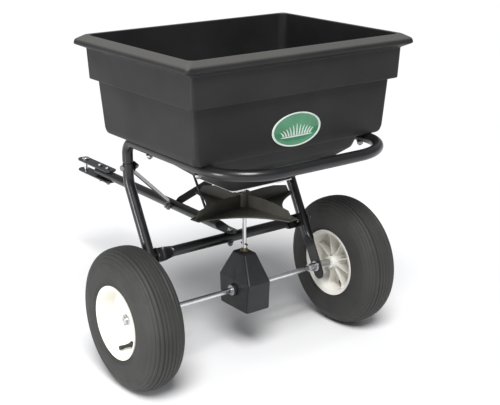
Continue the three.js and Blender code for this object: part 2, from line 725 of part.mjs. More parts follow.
// A flat strap from the leg's top bolt down to the side of the tongue, with both ends set flat.
function makeBrace(side) {
  const { thickness, width, tab } = BRACE_STRAP;
  const start = v(0, LEG_Y, BRACE_Z);
  const run = v(0, BRACE_TONGUE_Y, TONGUE_Z).sub(start);
  const length = run.length();
  const legFace = RAIL_X - TUBE_RADIUS - GAP - thickness / 2;
  const tongueFace = TUBE_RADIUS + GAP + thickness / 2;
  const line = [[-tab, legFace], [tab, legFace], [length - tab, tongueFace], [length + tab, tongueFace]];
  const outline = stripOutline(line.map(([along, x]) => new THREE.Vector2(along, x)), thickness);
  const strap = new THREE.ExtrudeGeometry(outline, { depth: width, bevelEnabled: false });
  const along = run.clone().normalize();
  const wide = v(0, -along.z, along.y);
  const placed = new THREE.Matrix4().makeBasis(along, v(side, 0, 0), wide);
  strap.translate(0, 0, -width / 2).applyMatrix4(placed).translate(0, start.y, start.z);
  const holeAt = (y, z, x) => drill('x', v(0, y, z), side * (x - 6), side * (x + 6), BOLT_HOLE);
  return cut(strap, holeAt(LEG_Y, BRACE_Z, legFace), holeAt(BRACE_TONGUE_Y, TONGUE_Z, tongueFace));
}

// ---------------------------------------------------------------- hitch

// A plate that lies along the tongue and runs past its end to make one jaw of the clevis.
function makeHitchPlate(side) {
  const { halfWidth, thickness } = HITCH_PLATE;
  const corner = 8;
  const plan = new THREE.Shape().absarc(0, HITCH_FRONT - halfWidth, halfWidth, 0, Math.PI, false);
  plan.lineTo(-halfWidth, HITCH_BACK + corner);
  plan.lineTo(-halfWidth + corner, HITCH_BACK);
  plan.lineTo(halfWidth - corner, HITCH_BACK);
  plan.lineTo(halfWidth, HITCH_BACK + corner);
  const holes = [roundHole(0, HITCH_PIN_Y, HITCH_PIN_RADIUS + 0.4),
    ...HITCH_BOLTS_Y.map((y) => roundHole(0, y, BOLT_HOLE))];
  return flatPlate(plan, holes, TONGUE_Z + side * HITCH_PLATE_OFFSET - thickness / 2, thickness);
}

function makeHitchPin() {
  const face = HITCH_PLATE_OFFSET + HITCH_PLATE.thickness / 2;
  const top = TONGUE_Z + face + GAP;
  const bottom = TONGUE_Z - face - 10;
  const profile = [[bottom, 0], [bottom, 4], [bottom + 3, HITCH_PIN_RADIUS], [top, HITCH_PIN_RADIUS],
    [top, 11], [top + 4, 11], [top + 6, 8], [top + 6, 0]];
  return turned('z', profile, 12).translate(0, HITCH_PIN_Y, 0);
}

function addFrame() {
  addPart('hopper_frame', makeHopperFrame(), 'blackPaint');
  addPart('cross_tube', makeCrossTube(), 'blackPaint');
  addPart('tongue', makeTongue(), 'blackPaint');
  addPart('hitch_upper_plate', makeHitchPlate(1), 'blackPaint');
  addPart('hitch_lower_plate', makeHitchPlate(-1), 'blackPaint');
  addPart('hitch_pin', makeHitchPin(), 'zinc');
  sides.forEach(([name, side]) => {
    addPart(`${name}_leg`, makeLeg(side), 'blackPaint');
    addPart(`${name}_brace`, makeBrace(side), 'blackPaint');
  });
}

function addFrameBolts() {
  const tubeFace = TUBE_RADIUS + GAP;
  sides.forEach(([name, side]) => {
    const inner = RAIL_X - TUBE_RADIUS;
    const outer = RAIL_X + tubeFace;
    addPart(`${name}_brace_bolt`, bolt('x', v(0, LEG_Y, BRACE_Z), side * outer,
      side * (inner - BRACE_STRAP.thickness - GAP * 2)), 'zinc');
    addPart(`${name}_cross_bolt`, bolt('x', v(0, CROSS_Y, CROSS_Z),
      side * (inner - CROSS_TAB.thickness - GAP * 2), side * outer), 'zinc');
  });
  const flatTop = CROSS_Z + tubeFace + TONGUE_FLAT_THICKNESS + GAP;
  addPart('tongue_cross_bolt', bolt('z', v(0, CROSS_Y, 0), flatTop, CROSS_Z - tubeFace), 'zinc');
  const strapFace = tubeFace + BRACE_STRAP.thickness + GAP;
  addPart('brace_tongue_bolt', bolt('x', v(0, BRACE_TONGUE_Y, TONGUE_Z), strapFace, -strapFace), 'zinc');
  const plateFace = tubeFace + HITCH_PLATE.thickness + GAP;
  HITCH_BOLTS_Y.forEach((y, i) => {
    const name = i === 0 ? 'hitch_rear_bolt' : 'hitch_front_bolt';
    addPart(name, bolt('z', v(0, y, 0), TONGUE_Z + plateFace, TONGUE_Z - plateFace), 'zinc');
  });
}

// ---------------------------------------------------------------- wheels and axle

const WHEEL_PHASE = Math.PI / WHEEL_SIDES;

// Profiles run along the axle from the wheel's middle plane, outwards positive.
const RIM_PROFILE = [
  [HUB_INNER, AXLE_BORE], [HUB_OUTER, AXLE_BORE], [HUB_OUTER, 15], [6, 17], [3.5, 60],
  [4, 72.5], [42, 73.5], [RIM_HALF_WIDTH, 82.5], [RIM_HALF_WIDTH, RIM_FLANGE_RADIUS],
  [44.3, RIM_FLANGE_RADIUS], [44.3, RIM_BARREL_RADIUS], [-44.3, RIM_BARREL_RADIUS],
  [-44.3, RIM_FLANGE_RADIUS], [-RIM_HALF_WIDTH, RIM_FLANGE_RADIUS], [-RIM_HALF_WIDTH, 82.5],
  [-42, 73.5], [0, 72.5], [0.5, 18], [HUB_INNER, 15],
];
const RIM_RIBS = 8;
const VALVE_RADIUS = 63;
const DRIVE_PIN = { along: HUB_INNER + 8, radius: 3, halfLength: 20 };

function placeWheelPiece(geometry, side) {
  return welded(geometry.scale(side, 1, 1).translate(side * WHEEL_X, 0, AXLE_Z));
}

function makeRim(side) {
  const ribs = Array.from({ length: RIM_RIBS }, (_, i) => {
    const rib = boxBetween(v(-30, -1.6, 15), v(2, 1.6, RIM_BARREL_RADIUS - 2));
    return rib.rotateX((i + 0.5) * 2 * Math.PI / RIM_RIBS);
  });
  const valveHole = drill('x', v(0, 0, -VALVE_RADIUS), -4, 8, 5);
  const body = join(turned('x', RIM_PROFILE, WHEEL_SIDES, WHEEL_PHASE), ...ribs);
  const holes = [valveHole];
  if (side > 0) {
    holes.push(drill('z', v(DRIVE_PIN.along, 0, 0), -22, 22, DRIVE_PIN.radius + GAP));
  }
  return placeWheelPiece(cut(body, ...holes), side);
}

function makeTyre(side) {
  const bead = RIM_BARREL_RADIUS + 0.4;
  const crown = 13;
  const outerHalf = [[44, bead], [44, 85.8], [49.5, 103], [49.5, 121], [42, 148], [29, 160.5],
    [crown, TYRE_RADIUS]];
  const innerHalf = [[36, bead], [41, 104], [39, 133], [crown, 157]];
  const mirror = (rows) => rows.map(([along, radius]) => [-along, radius]).reverse();
  const outer = [...outerHalf, ...mirror(outerHalf)];
  const inner = [...innerHalf, ...mirror(innerHalf)];
  const profile = [...outer, ...inner.reverse()];
  return placeWheelPiece(turned('x', profile, WHEEL_SIDES, WHEEL_PHASE), side);
}

function makeValveStem(side) {
  const profile = [[-5, 0], [-5, 4.6], [5.2, 4.6], [5.2, 7.5], [9, 7.5], [12, 4.6], [30, 4.2],
    [30, 5], [39, 4.6], [39, 0]];
  return placeWheelPiece(turned('x', profile, 10).translate(0, 0, -VALVE_RADIUS), side);
}

const COTTER_X = AXLE_HALF_LENGTH - 5;

function makeAxle() {
  const body = bar('x', v(-AXLE_HALF_LENGTH, 0, AXLE_Z), v(AXLE_HALF_LENGTH, 0, AXLE_Z), AXLE_RADIUS);
  const through = (x, radius) => drill('z', v(x, 0, 0), AXLE_Z - 10, AXLE_Z + 10, radius);
  return cut(body, through(-COTTER_X, 2), through(COTTER_X, 2),
    through(WHEEL_X + DRIVE_PIN.along, DRIVE_PIN.radius + GAP));
}

function makeCotter(side) {
  const x = side * COTTER_X;
  return bar('z', v(x, 0, AXLE_Z - 13), v(x, 0, AXLE_Z + 13), 1.6, 8);
}

const mirroredSleeve = (side, low, high, outer, inner) =>
  welded(sleeve('x', low, high, outer, inner).scale(side, 1, 1).translate(0, 0, AXLE_Z));

function makeAxleBush(side) {
  const footInner = RAIL_X - FOOT_THICKNESS / 2;
  const footOuter = RAIL_X + FOOT_THICKNESS / 2;
  const profile = [[footInner - 4, AXLE_BORE], [footOuter, AXLE_BORE], [footOuter, 9.2],
    [footInner - GAP, 9.2], [footInner - GAP, 13], [footInner - 4, 13]];
  return welded(turned('x', profile, 12).scale(side, 1, 1).translate(0, 0, AXLE_Z));
}

function addWheelsAndAxle() {
  addPart('axle', makeAxle(), 'zinc');
  sides.forEach(([name, side]) => {
    addPart(`${name}_rim`, makeRim(side), 'whitePlastic');
    addPart(`${name}_tyre`, makeTyre(side), 'rubber');
    addPart(`${name}_valve_stem`, makeValveStem(side), 'rubber');
    addPart(`${name}_axle_bush`, makeAxleBush(side), 'zinc');
    const collarOuter = RAIL_X - FOOT_THICKNESS / 2 - 4 - GAP;
    const collar = mirroredSleeve(side, collarOuter - 20, collarOuter, 10, AXLE_BORE);
    addPart(`${name}_axle_collar`, collar, 'zinc');
    const spacerInner = RAIL_X + FOOT_THICKNESS / 2 + GAP;
    const spacerOuter = WHEEL_X + HUB_INNER - GAP;
    addPart(`${name}_wheel_spacer`, mirroredSleeve(side, spacerInner, spacerOuter, 10, AXLE_BORE), 'zinc');
    const washer = WHEEL_X + HUB_OUTER + GAP;
    addPart(`${name}_wheel_washer`, mirroredSleeve(side, washer, washer + 2, 13, AXLE_BORE), 'zinc');
    addPart(`${name}_axle_cotter`, makeCotter(side), 'steel');
  });
  const pinX = WHEEL_X + DRIVE_PIN.along;
  const pin = bar('z', v(pinX, 0, AXLE_Z - DRIVE_PIN.halfLength), v(pinX, 0, AXLE_Z + DRIVE_PIN.halfLength),
    DRIVE_PIN.radius, 10);
  addPart('wheel_drive_pin', pin, 'steel');
}

// ---------------------------------------------------------------- gearbox

const GEARBOX = { bottom: 118, shoulder: 190, top: 255, wall: 2.5 };

function gearboxBlock(inset) {
  const { bottom, shoulder, top } = GEARBOX;
  const rows = [[bottom + inset, 34, 54], [shoulder, 32, 61], [top - inset, 17.5, 24]];
  return loft(rows.map(([z, halfX, halfY]) => roundedRect(halfX - inset, halfY - inset, 6 - inset, z, 2)));
}

function makeGearboxShell() {
  const axisPoint = v(0, 0, AXLE_Z);
  const boss = drill('x', axisPoint, -38, 38, 15, 16);
  const axleHole = drill('x', axisPoint, -60, 60, 9.8, 16);
  const shaftHole = drill('z', v(0, 0, 0), GEARBOX.top - 20, GEARBOX.top + 20, 8.3, 16);
  return cut(join(gearboxBlock(0), boss), gearboxBlock(GEARBOX.wall), axleHole, shaftHole);
}

// The case splits on the plane that holds both shafts.
function gearboxHalf(shell, side) {
  const slab = boxBetween(v(-80, GAP / 2, 80), v(80, 90, 300));
  return common(shell, welded(slab.scale(1, side, 1)));
}

function makeGearboxBush(side) {
  const profile = [[28, AXLE_BORE], [41, AXLE_BORE], [41, 13], [38 + GAP, 13], [38 + GAP, 9.5], [28, 9.5]];
  return welded(turned('x', profile, 12).scale(side, 1, 1).translate(0, 0, AXLE_Z));
}

function makeGearboxShaftBush() {
  const { top, wall } = GEARBOX;
  const profile = [[top - wall - 3, SHAFT_BORE], [top + 9, SHAFT_BORE], [top + 9, 9.5],
    [top + GAP, 9.5], [top + GAP, 8], [top - wall - 3, 8]];
  return turned('z', profile, 16);
}

// Bevel teeth lie on a cone whose point is where the two shafts cross. In a gear's own plane,
// `along` is the distance from that point along its shaft and `out` is the radius.
const PITCH_RATIO = PINION_TEETH / GEAR_TEETH;
const CONE = Math.hypot(1, PITCH_RATIO);
const TOOTH = { tip: 1.6, root: 2.4, overlap: 1.6, inner: 0.72 };

function bevelPoints(along, out, slopeAlong, slopeOut) {
  const at = (height) => [along + height * slopeAlong, out + height * slopeOut];
  return { tip: at(TOOTH.tip), root: at(-TOOTH.root), buried: at(-TOOTH.root - TOOTH.overlap) };
}

function bevelTooth({ tip, buried }, centreAngle, rootHalf, tipHalf) {
  const corner = ([along, out], angle) => v(out * Math.cos(angle), out * Math.sin(angle), along);
  const section = (scale) => [
    corner(buried, centreAngle - rootHalf), corner(tip, centreAngle - tipHalf),
    corner(tip, centreAngle + tipHalf), corner(buried, centreAngle + rootHalf),
  ].map((point) => point.multiplyScalar(scale));
  return loft([section(1), section(TOOTH.inner)]);
}

function bevelTeeth(points, count, firstAngle, rootHalf, tipHalf) {
  const pitch = 2 * Math.PI / count;
  return Array.from({ length: count }, (_, i) =>
    bevelTooth(points, firstAngle + i * pitch, rootHalf * pitch, tipHalf * pitch));
}

// Built about Z with its back at the larger height, then laid along -X. A tooth points straight up.
function makeAxleGear() {
  const along = GEAR_PITCH_RADIUS * PITCH_RATIO;
  const points = bevelPoints(along, GEAR_PITCH_RADIUS, -1 / CONE, PITCH_RATIO / CONE);
  const [rootAlong, rootOut] = points.root;
  const inner = TOOTH.inner;
  const blank = turned('z', [[rootAlong * inner, AXLE_BORE], [rootAlong * inner, rootOut * inner],
    [rootAlong, rootOut], [rootAlong + 5, rootOut - 1], [rootAlong + 5, 14], [27, 14],
    [27, AXLE_BORE]], GEAR_TEETH / 2);
  const teeth = bevelTeeth(points, GEAR_TEETH, 0, 0.22, 0.085);
  const toAxle = new THREE.Matrix4().makeBasis(v(0, 0, 1), v(0, 1, 0), v(-1, 0, 0));
  return join(blank, ...teeth).applyMatrix4(toAxle).translate(0, 0, AXLE_Z);
}

// A gap between two teeth looks along -X, where the larger gear's top tooth stands.
function makePinion() {
  const out = GEAR_PITCH_RADIUS * PITCH_RATIO;
  const points = bevelPoints(GEAR_PITCH_RADIUS, out, -PITCH_RATIO / CONE, 1 / CONE);
  const [rootAlong, rootOut] = points.root;
  const inner = TOOTH.inner;
  const blank = turned('z', [[rootAlong * inner, SHAFT_BORE], [rootAlong * inner, rootOut * inner],
    [rootAlong, rootOut], [rootAlong + 12, rootOut], [rootAlong + 12, SHAFT_BORE]], PINION_TEETH * 2);
  const firstGap = Math.PI + Math.PI / PINION_TEETH;
  const teeth = bevelTeeth(points, PINION_TEETH, firstGap, 0.22, 0.09);
  return join(blank, ...teeth).translate(0, 0, AXLE_Z);
}

const CROSS_PIN = { z: 274, radius: 2.5, halfLength: 12 };

function makeImpellerShaft() {
  const body = bar('z', v(0, 0, SHAFT_BOTTOM), v(0, 0, SHAFT_TOP), SHAFT_RADIUS);
  const hole = drill('y', v(0, 0, CROSS_PIN.z), -8, 8, CROSS_PIN.radius + GAP);
  return cut(body, hole);
}

function makeCrossPin() {
  const { z, radius, halfLength } = CROSS_PIN;
  return bar('y', v(0, -halfLength, z), v(0, halfLength, z), radius, 8);
}

function addGearbox() {
  const shell = makeGearboxShell();
  addPart('gearbox_cover_rear', gearboxHalf(shell, -1), 'blackPlastic');
  addPart('gearbox_cover_front', gearboxHalf(shell, 1), 'blackPlastic');
  sides.forEach(([name, side]) => addPart(`gearbox_${name}_bush`, makeGearboxBush(side), 'zinc'));
  addPart('gearbox_shaft_bush', makeGearboxShaftBush(), 'bronze');
  addPart('axle_gear', makeAxleGear(), 'steel');
  addPart('shaft_pinion', makePinion(), 'steel');
  addPart('impeller_shaft', makeImpellerShaft(), 'zinc');
  addPart('shaft_cross_pin', makeCrossPin(), 'steel');
}

// ---------------------------------------------------------------- impeller and agitator

const BLADES = 4;

// A plate with four broad arms and hollowed sides between them.
function impellerPlate() {
  const { tipRadius, waistRadius, plateZ } = IMPELLER;
  const halfTip = 13;
  const tipAngle = Math.asin(halfTip / tipRadius);
  const polar = (radius, angle) => new THREE.Vector2(radius * Math.cos(angle), radius * Math.sin(angle));
  const cornerReach = tipRadius * Math.cos(Math.PI / BLADES - tipAngle);
  const control = 2 * waistRadius - cornerReach;
  const outline = new THREE.Shape();
  const start = polar(tipRadius, -tipAngle);
  outline.moveTo(start.x, start.y);
  for (let i = 0; i < BLADES; i += 1) {
    const arm = i * 2 * Math.PI / BLADES;
    const tip = polar(tipRadius, arm + tipAngle);
    const waist = polar(control, arm + Math.PI / BLADES);
    const next = polar(tipRadius, arm + 2 * Math.PI / BLADES - tipAngle);
    outline.lineTo(tip.x, tip.y);
    outline.quadraticCurveTo(waist.x, waist.y, next.x, next.y);
  }
  const plate = new THREE.ExtrudeGeometry(outline, { depth: 3, bevelEnabled: false, curveSegments: 6 });
  return plate.translate(0, 0, plateZ);
}

function impellerBlade(turn) {
  const { tipRadius, plateZ, bladeTop } = IMPELLER;
  const low = plateZ + 1;
  const outline = new THREE.Shape([
    new THREE.Vector2(8, low), new THREE.Vector2(tipRadius - 4, low),
    new THREE.Vector2(tipRadius - 15, bladeTop), new THREE.Vector2(8, bladeTop),
  ]);
  return uprightPlate(outline, [], -2, 4).rotateZ(turn);
}

function makeImpeller() {
  const blades = Array.from({ length: BLADES }, (_, i) => impellerBlade(i * 2 * Math.PI / BLADES));
  const { plateZ, bladeTop, restTurn } = IMPELLER;
  const hub = bar('z', v(0, 0, plateZ - 14), v(0, 0, bladeTop + 5), 15, 16);
  const bore = drill('z', v(0, 0, 0), plateZ - 20, bladeTop + 20, SHAFT_BORE, 16);
  const whole = cut(join(impellerPlate(), hub, ...blades), bore);
  return whole.rotateZ(THREE.MathUtils.degToRad(restTurn));
}

// Two bent tines stir the contents above the outlet.
function makeAgitator() {
  const hub = bar('z', v(0, 0, 472), v(0, 0, 496), 12, 12);
  const tine = (side) => rod(bentStations([
    { point: v(side * 6, 0, 484) },
    { point: v(side * 52, 0, 478), bend: 12, steps: 3 },
    { point: v(side * 66, 0, 512) },
  ]), 3.5, 0, 8);
  const bore = drill('z', v(0, 0, 0), 460, 510, SHAFT_BORE, 16);
  return cut(join(hub, tine(-1), tine(1)), bore);
}

function addImpellerGroup() {
  addPart('impeller', makeImpeller(), 'blackPlastic');
  addPart('agitator', makeAgitator(), 'steel');
}

// ---------------------------------------------------------------- assembly

addHopperGroup();
addFlowControl();
addFrame();
addFrameBolts();
addWheelsAndAxle();
addGearbox();
addImpellerGroup();

const rearmost = REAR_BAR_Y - TUBE_RADIUS;
spreader.position.y = -(HITCH_FRONT + rearmost) / 2;

export default spreader;
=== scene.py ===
"""Garden spreader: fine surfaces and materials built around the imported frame.

Shapes are drawn in millimetres, with Y = 0 at the axle and Z = 0 on the ground, and `world`
turns them into the frame's metres.
"""
import json
import math

import bmesh
import bpy
from mathutils import Matrix, Quaternion, Vector

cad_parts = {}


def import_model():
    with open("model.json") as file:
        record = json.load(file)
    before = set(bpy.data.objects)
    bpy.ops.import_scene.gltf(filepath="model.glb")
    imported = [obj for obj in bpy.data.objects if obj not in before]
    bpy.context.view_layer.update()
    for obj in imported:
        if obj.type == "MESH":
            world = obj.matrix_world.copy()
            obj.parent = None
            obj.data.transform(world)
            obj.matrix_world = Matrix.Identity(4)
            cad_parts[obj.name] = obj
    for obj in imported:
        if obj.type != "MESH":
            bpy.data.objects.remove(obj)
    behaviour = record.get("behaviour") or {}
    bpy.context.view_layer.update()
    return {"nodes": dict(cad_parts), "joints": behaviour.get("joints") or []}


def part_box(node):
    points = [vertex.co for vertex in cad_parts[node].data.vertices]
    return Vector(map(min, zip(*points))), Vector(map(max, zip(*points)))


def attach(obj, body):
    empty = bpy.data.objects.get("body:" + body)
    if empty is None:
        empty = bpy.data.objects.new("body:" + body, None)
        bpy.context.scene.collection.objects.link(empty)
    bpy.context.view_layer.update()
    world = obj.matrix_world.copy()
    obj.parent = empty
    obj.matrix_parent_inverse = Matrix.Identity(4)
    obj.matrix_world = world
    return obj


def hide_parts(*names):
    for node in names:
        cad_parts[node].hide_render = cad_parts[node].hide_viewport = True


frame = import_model()

# ---------------------------------------------------------------- sizes, most of them taken from the frame

MM = 0.001
X_AXIS = Vector((1, 0, 0))
Y_AXIS = Vector((0, 1, 0))
Z_AXIS = Vector((0, 0, 1))
AXLE_POINT = next(j["pos_m"] for j in frame["joints"] if j["name"] == "axle_spin")
AXLE_Y = AXLE_POINT[1]
AXLE_Z = AXLE_POINT[2] / MM


def world(point):
    return Vector((point[0] * MM, point[1] * MM + AXLE_Y, point[2] * MM))


def box_mm(node):
    """Lowest and highest corners of a CAD node in millimetres from the axle line."""
    return [Vector((c.x / MM, (c.y - AXLE_Y) / MM, c.z / MM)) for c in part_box(node)]


def middle(node):
    low, high = box_mm(node)
    return (low + high) / 2


ORIGIN = Vector((0, 0, 0))
TUBE = 12.7  # outer radius of the frame's tubes
TUBE_WALL = 1.6
STRAP = 3  # thickness of a brace
GAP = 0.3  # between parts that are bolted together
BORE = 6.7  # of everything that turns on the axle or carries it
SHAFT_BORE = 5.3  # of everything on the upright shaft
ROUND = 2  # powers for superellipse
FLAT = 4.5
LOOP_LOW, LOOP_HIGH = box_mm("hopper_frame")
RAIL_X = LOOP_HIGH.x - TUBE
RAIL_Z = LOOP_HIGH.z - TUBE
LEG_Y = LOOP_HIGH.y - TUBE
REAR_Y = LOOP_LOW.y + TUBE
STUB_Z = LOOP_LOW.z
HOPPER_LOW, HOPPER_HIGH = box_mm("hopper")
SHELF_Z = LOOP_HIGH.z + GAP
CROSS_BOLT = middle("left_cross_bolt")
CROSS_Y = CROSS_BOLT.y
CROSS_Z = CROSS_BOLT.z
BRACE_TOP = middle("left_brace_bolt")
BRACE_FOOT = middle("brace_tongue_bolt")
TONGUE_Z = BRACE_FOOT.z
TONGUE_LOW, TONGUE_HIGH = box_mm("tongue")
WHEEL_X = middle("right_rim").x
KNEE_Z = 436  # where the legs bend
FOOT_END = 34  # from the axle down to the foot's tip
LEG_UP = Vector((0, LEG_Y, KNEE_Z - AXLE_Z)).normalized()
LEG_FORWARD = Vector((0, LEG_UP.z, -LEG_UP.y))
SIDES = (("left", -1), ("right", 1))


# ---------------------------------------------------------------- materials

class Shader:
    """A material whose colour, roughness and bump come from a few procedural textures."""

    def __init__(self, name, colour, **sockets):
        self.material = bpy.data.materials.new(name)
        self.material.use_nodes = True
        self.nodes = self.material.node_tree.nodes
        self.links = self.material.node_tree.links
        self.bsdf = self.nodes["Principled BSDF"]
        sockets["Base_Color"] = (*colour, 1)
        for socket, value in sockets.items():
            self.bsdf.inputs[socket.replace("_", " ")].default_value = value
        self.place = self.node("TexCoord").outputs["Object"]
        self.colour = None
        self.height = None

    def node(self, kind, source=None, socket="Vector", **values):
        """Adds a node, fills in its inputs, and feeds one of them from a source."""
        made = self.nodes.new("ShaderNode" + kind)
        for name, value in values.items():
            made.inputs[name.replace("_", " ")].default_value = value
        if source is not None:
            self.links.new(source, made.inputs[socket])
        return made

    def mapped(self, scale=(1, 1, 1), centre=(0, 0, 0)):
        location = [-c * s for c, s in zip(centre, scale)]
        return self.node("Mapping", self.place, Location=location, Scale=scale).outputs["Vector"]

    def noise(self, scale, detail, distortion=0.0, stretch=(1, 1, 1)):
        made = self.node("TexNoise", self.mapped(stretch), Scale=scale, Detail=detail,
                         Distortion=distortion)
        return made.outputs["Fac"]

    def cells(self, scale):
        return self.node("TexVoronoi", self.mapped(), Scale=scale).outputs["Distance"]

    def rings(self, centre, scale):
        """Fine rings about an axis along X through the centre, in metres."""
        made = self.node("TexWave", self.mapped(centre=centre), Scale=scale, Distortion=0.6, Detail=1.0)
        made.wave_type = "RINGS"
        made.rings_direction = "X"
        return made.outputs["Fac"]

    def facing_up(self):
        """How much a surface faces upwards, from -1 to 1."""
        normal = self.node("TexCoord").outputs["Normal"]
        return self.node("SeparateXYZ", normal).outputs["Z"]

    def between(self, value, low, high):
        """Maps a value so that low gives 0 and high gives 1, held inside that range."""
        return self.node("MapRange", value, "Value", From_Min=low, From_Max=high).outputs["Result"]

    def tint(self, colour, amount, most):
        """Lays a second colour over what is there, by an amount from 0 to 1."""
        strength = self.node("Math", amount, 0)
        strength.operation = "MULTIPLY"
        strength.inputs[1].default_value = most
        mix = self.node("Mix")
        mix.data_type = "RGBA"
        mix.inputs["B"].default_value = (*colour, 1)
        if self.colour is None:
            mix.inputs["A"].default_value = self.bsdf.inputs["Base Color"].default_value[:]
        else:
            self.links.new(self.colour, mix.inputs["A"])
        self.links.new(strength.outputs[0], mix.inputs["Factor"])
        self.colour = mix.outputs["Result"]
        self.links.new(self.colour, self.bsdf.inputs["Base Color"])

    def patches(self, colour, low, high, most, *noise, **shape):
        """Lays a colour over the patches where a noise rises from low to high."""
        self.tint(colour, self.between(self.noise(*noise, **shape), low, high), most)

    def rough(self, low, high, *noise, **shape):
        """Spreads the roughness from low to high with a noise."""
        made = self.node("MapRange", self.noise(*noise, **shape), "Value", To_Min=low, To_Max=high)
        self.links.new(made.outputs["Result"], self.bsdf.inputs["Roughness"])

    def bump(self, value, depth_mm, strength):
        made = self.node("Bump", value, "Height", Distance=depth_mm * MM, Strength=strength)
        if self.height is not None:
            self.links.new(self.height, made.inputs["Normal"])
        self.height = made.outputs["Normal"]
        self.links.new(self.height, self.bsdf.inputs["Normal"])


def clouded(name, colour, patches, rough, bumps, **sockets):
    """A material made of noises.

    Patches and rough hold the arguments of Shader's functions of that name, and bumps are
    (scale, depth in mm, strength).
    """
    shader = Shader(name, colour, **sockets)
    for patch in patches:
        shader.patches(*patch)
    shader.rough(*rough)
    for scale, depth_mm, strength in bumps:
        shader.bump(shader.noise(scale, 2), depth_mm, strength)
    return shader.material


def hopper_plastic():
    shader = Shader("hopper_plastic", (0.0105, 0.0105, 0.011), Specular_IOR_Level=0.28)
    shader.patches((0.024, 0.024, 0.0235), 0.42, 0.72, 0.7, 5, 5)
    shader.patches((0.065, 0.065, 0.062), 0.66, 0.78, 0.3, 60, 3, 0.4, (1, 1, 14))
    shader.patches((0.008, 0.008, 0.0085), 0.6, 0.8, 0.5, 55, 3, 0.0, (0.25, 0.25, 9))
    # Painted highlight: faces that point upwards, such as the rim's top, are tinted lighter, standing in
    # for light falling on them from above.
    shader.tint((0.16, 0.157, 0.15), shader.between(shader.facing_up(), 0.25, 0.95), 0.55)
    shader.rough(0.42, 0.62, 11, 4)
    shader.bump(shader.noise(760, 2), 0.10, 0.55)
    shader.bump(shader.noise(22, 2), 0.5, 0.25)
    return shader.material


def moulded_plastic(name, colour, highlight, rough=(0.38, 0.62)):
    flecks = [c * 2.6 for c in colour]
    patches = [(highlight, 0.4, 0.75, 0.7, 18, 4), (flecks, 0.68, 0.8, 0.4, 240, 2, 0.8)]
    return clouded(name, colour, patches, (*rough, 30, 4), [(1100, 0.06, 0.6), (60, 0.2, 0.3)],
                   Specular_IOR_Level=0.45)


def tyre_rubber(side):
    shader = Shader("tyre_rubber_" + side, (0.026, 0.026, 0.025), Specular_IOR_Level=0.4)
    shader.patches((0.046, 0.045, 0.041), 0.38, 0.72, 0.75, 7, 5)
    shader.patches((0.075, 0.071, 0.064), 0.6, 0.82, 0.3, 120, 4, 0.5)
    shader.rough(0.5, 0.74, 40, 4)
    centre = (0, AXLE_Y, AXLE_Z * MM)
    shader.bump(shader.rings(centre, 95), 0.14, 0.5)
    shader.bump(shader.noise(1300, 2), 0.08, 0.7)
    return shader.material


def plated(name, colour, dark, rough, along=(1, 1, 1)):
    """Zinc or plain steel, with faint brushing and a cloudy plate."""
    shader = Shader(name, colour, Metallic=1.0)
    shader.patches(dark, 0.42, 0.72, 0.6, 70, 4)
    shader.patches([c * 0.35 for c in dark], 0.68, 0.82, 0.35, 320, 3, 1.0)
    shader.rough(*rough, 150, 4, stretch=along)
    shader.bump(shader.noise(900, 2, stretch=along), 0.03, 0.6)
    shader.bump(shader.cells(260), 0.03, 0.3)
    return shader.material


HOPPER_PLASTIC = hopper_plastic()
COVER_PLASTIC = moulded_plastic("cover_plastic", (0.0115, 0.012, 0.0135), (0.024, 0.025, 0.026))
IMPELLER_PLASTIC = moulded_plastic("impeller_plastic", (0.036, 0.035, 0.028), (0.07, 0.067, 0.05))
GRIP_VINYL = moulded_plastic("grip_vinyl", (0.018, 0.018, 0.018), (0.034, 0.034, 0.034), (0.5, 0.75))
BLACK_PAINT = clouded(
    "black_paint", (0.0075, 0.0075, 0.0085),
    [((0.018, 0.018, 0.019), 0.45, 0.75, 0.6, 9, 5), ((0.07, 0.069, 0.065), 0.72, 0.8, 0.45, 420, 2, 1.0)],
    (0.22, 0.46, 26, 4), [(420, 0.05, 0.7), (90, 0.12, 0.3)],
    Coat_Weight=0.3, Coat_Roughness=0.16, Specular_IOR_Level=0.4)
WHITE_PLASTIC = clouded(
    "white_plastic", (0.86, 0.845, 0.79),
    [((0.78, 0.75, 0.66), 0.4, 0.75, 0.55, 12, 4), ((0.36, 0.33, 0.28), 0.66, 0.85, 0.35, 150, 4, 0.8)],
    (0.26, 0.46, 50, 3), [(900, 0.04, 0.5), (70, 0.15, 0.25)], Coat_Weight=0.15, Coat_Roughness=0.2)
BLACK_RUBBER = clouded("black_rubber", (0.014, 0.014, 0.014),
                       [((0.04, 0.038, 0.036), 0.5, 0.75, 0.6, 160, 4)],
                       (0.45, 0.7, 90, 3), [(1500, 0.05, 0.6)])
BADGE_GREEN = clouded(
    "badge_green", (0.028, 0.17, 0.075),
    [((0.05, 0.26, 0.13), 0.35, 0.7, 0.8, 24, 3),
     ((0.012, 0.09, 0.04), 0.45, 0.7, 0.6, 9, 1, 0.0, (0.2, 1, 3))],
    (0.22, 0.4, 60, 3), [(500, 0.02, 0.4)], Coat_Weight=0.8, Coat_Roughness=0.06)
BADGE_PALE = clouded("badge_pale", (0.60, 0.66, 0.62), [((0.42, 0.52, 0.46), 0.42, 0.7, 0.7, 90, 4)],
                     (0.25, 0.45, 120, 3), [(700, 0.02, 0.4)], Coat_Weight=0.5, Coat_Roughness=0.1)
ZINC = plated("zinc", (0.72, 0.73, 0.74), (0.52, 0.53, 0.55), (0.2, 0.42))
ZINC_BAR = plated("zinc_bar", (0.78, 0.79, 0.80), (0.62, 0.63, 0.65), (0.16, 0.34), along=(0.1, 1, 1))
STEEL = plated("dark_steel", (0.42, 0.42, 0.43), (0.24, 0.24, 0.25), (0.3, 0.55))
BRONZE = plated("bronze", (0.21, 0.165, 0.105), (0.12, 0.095, 0.06), (0.35, 0.6))
BOLT_ZINC = plated("bolt_zinc", (0.30, 0.30, 0.305), (0.16, 0.16, 0.165), (0.3, 0.5))


# ---------------------------------------------------------------- shapes

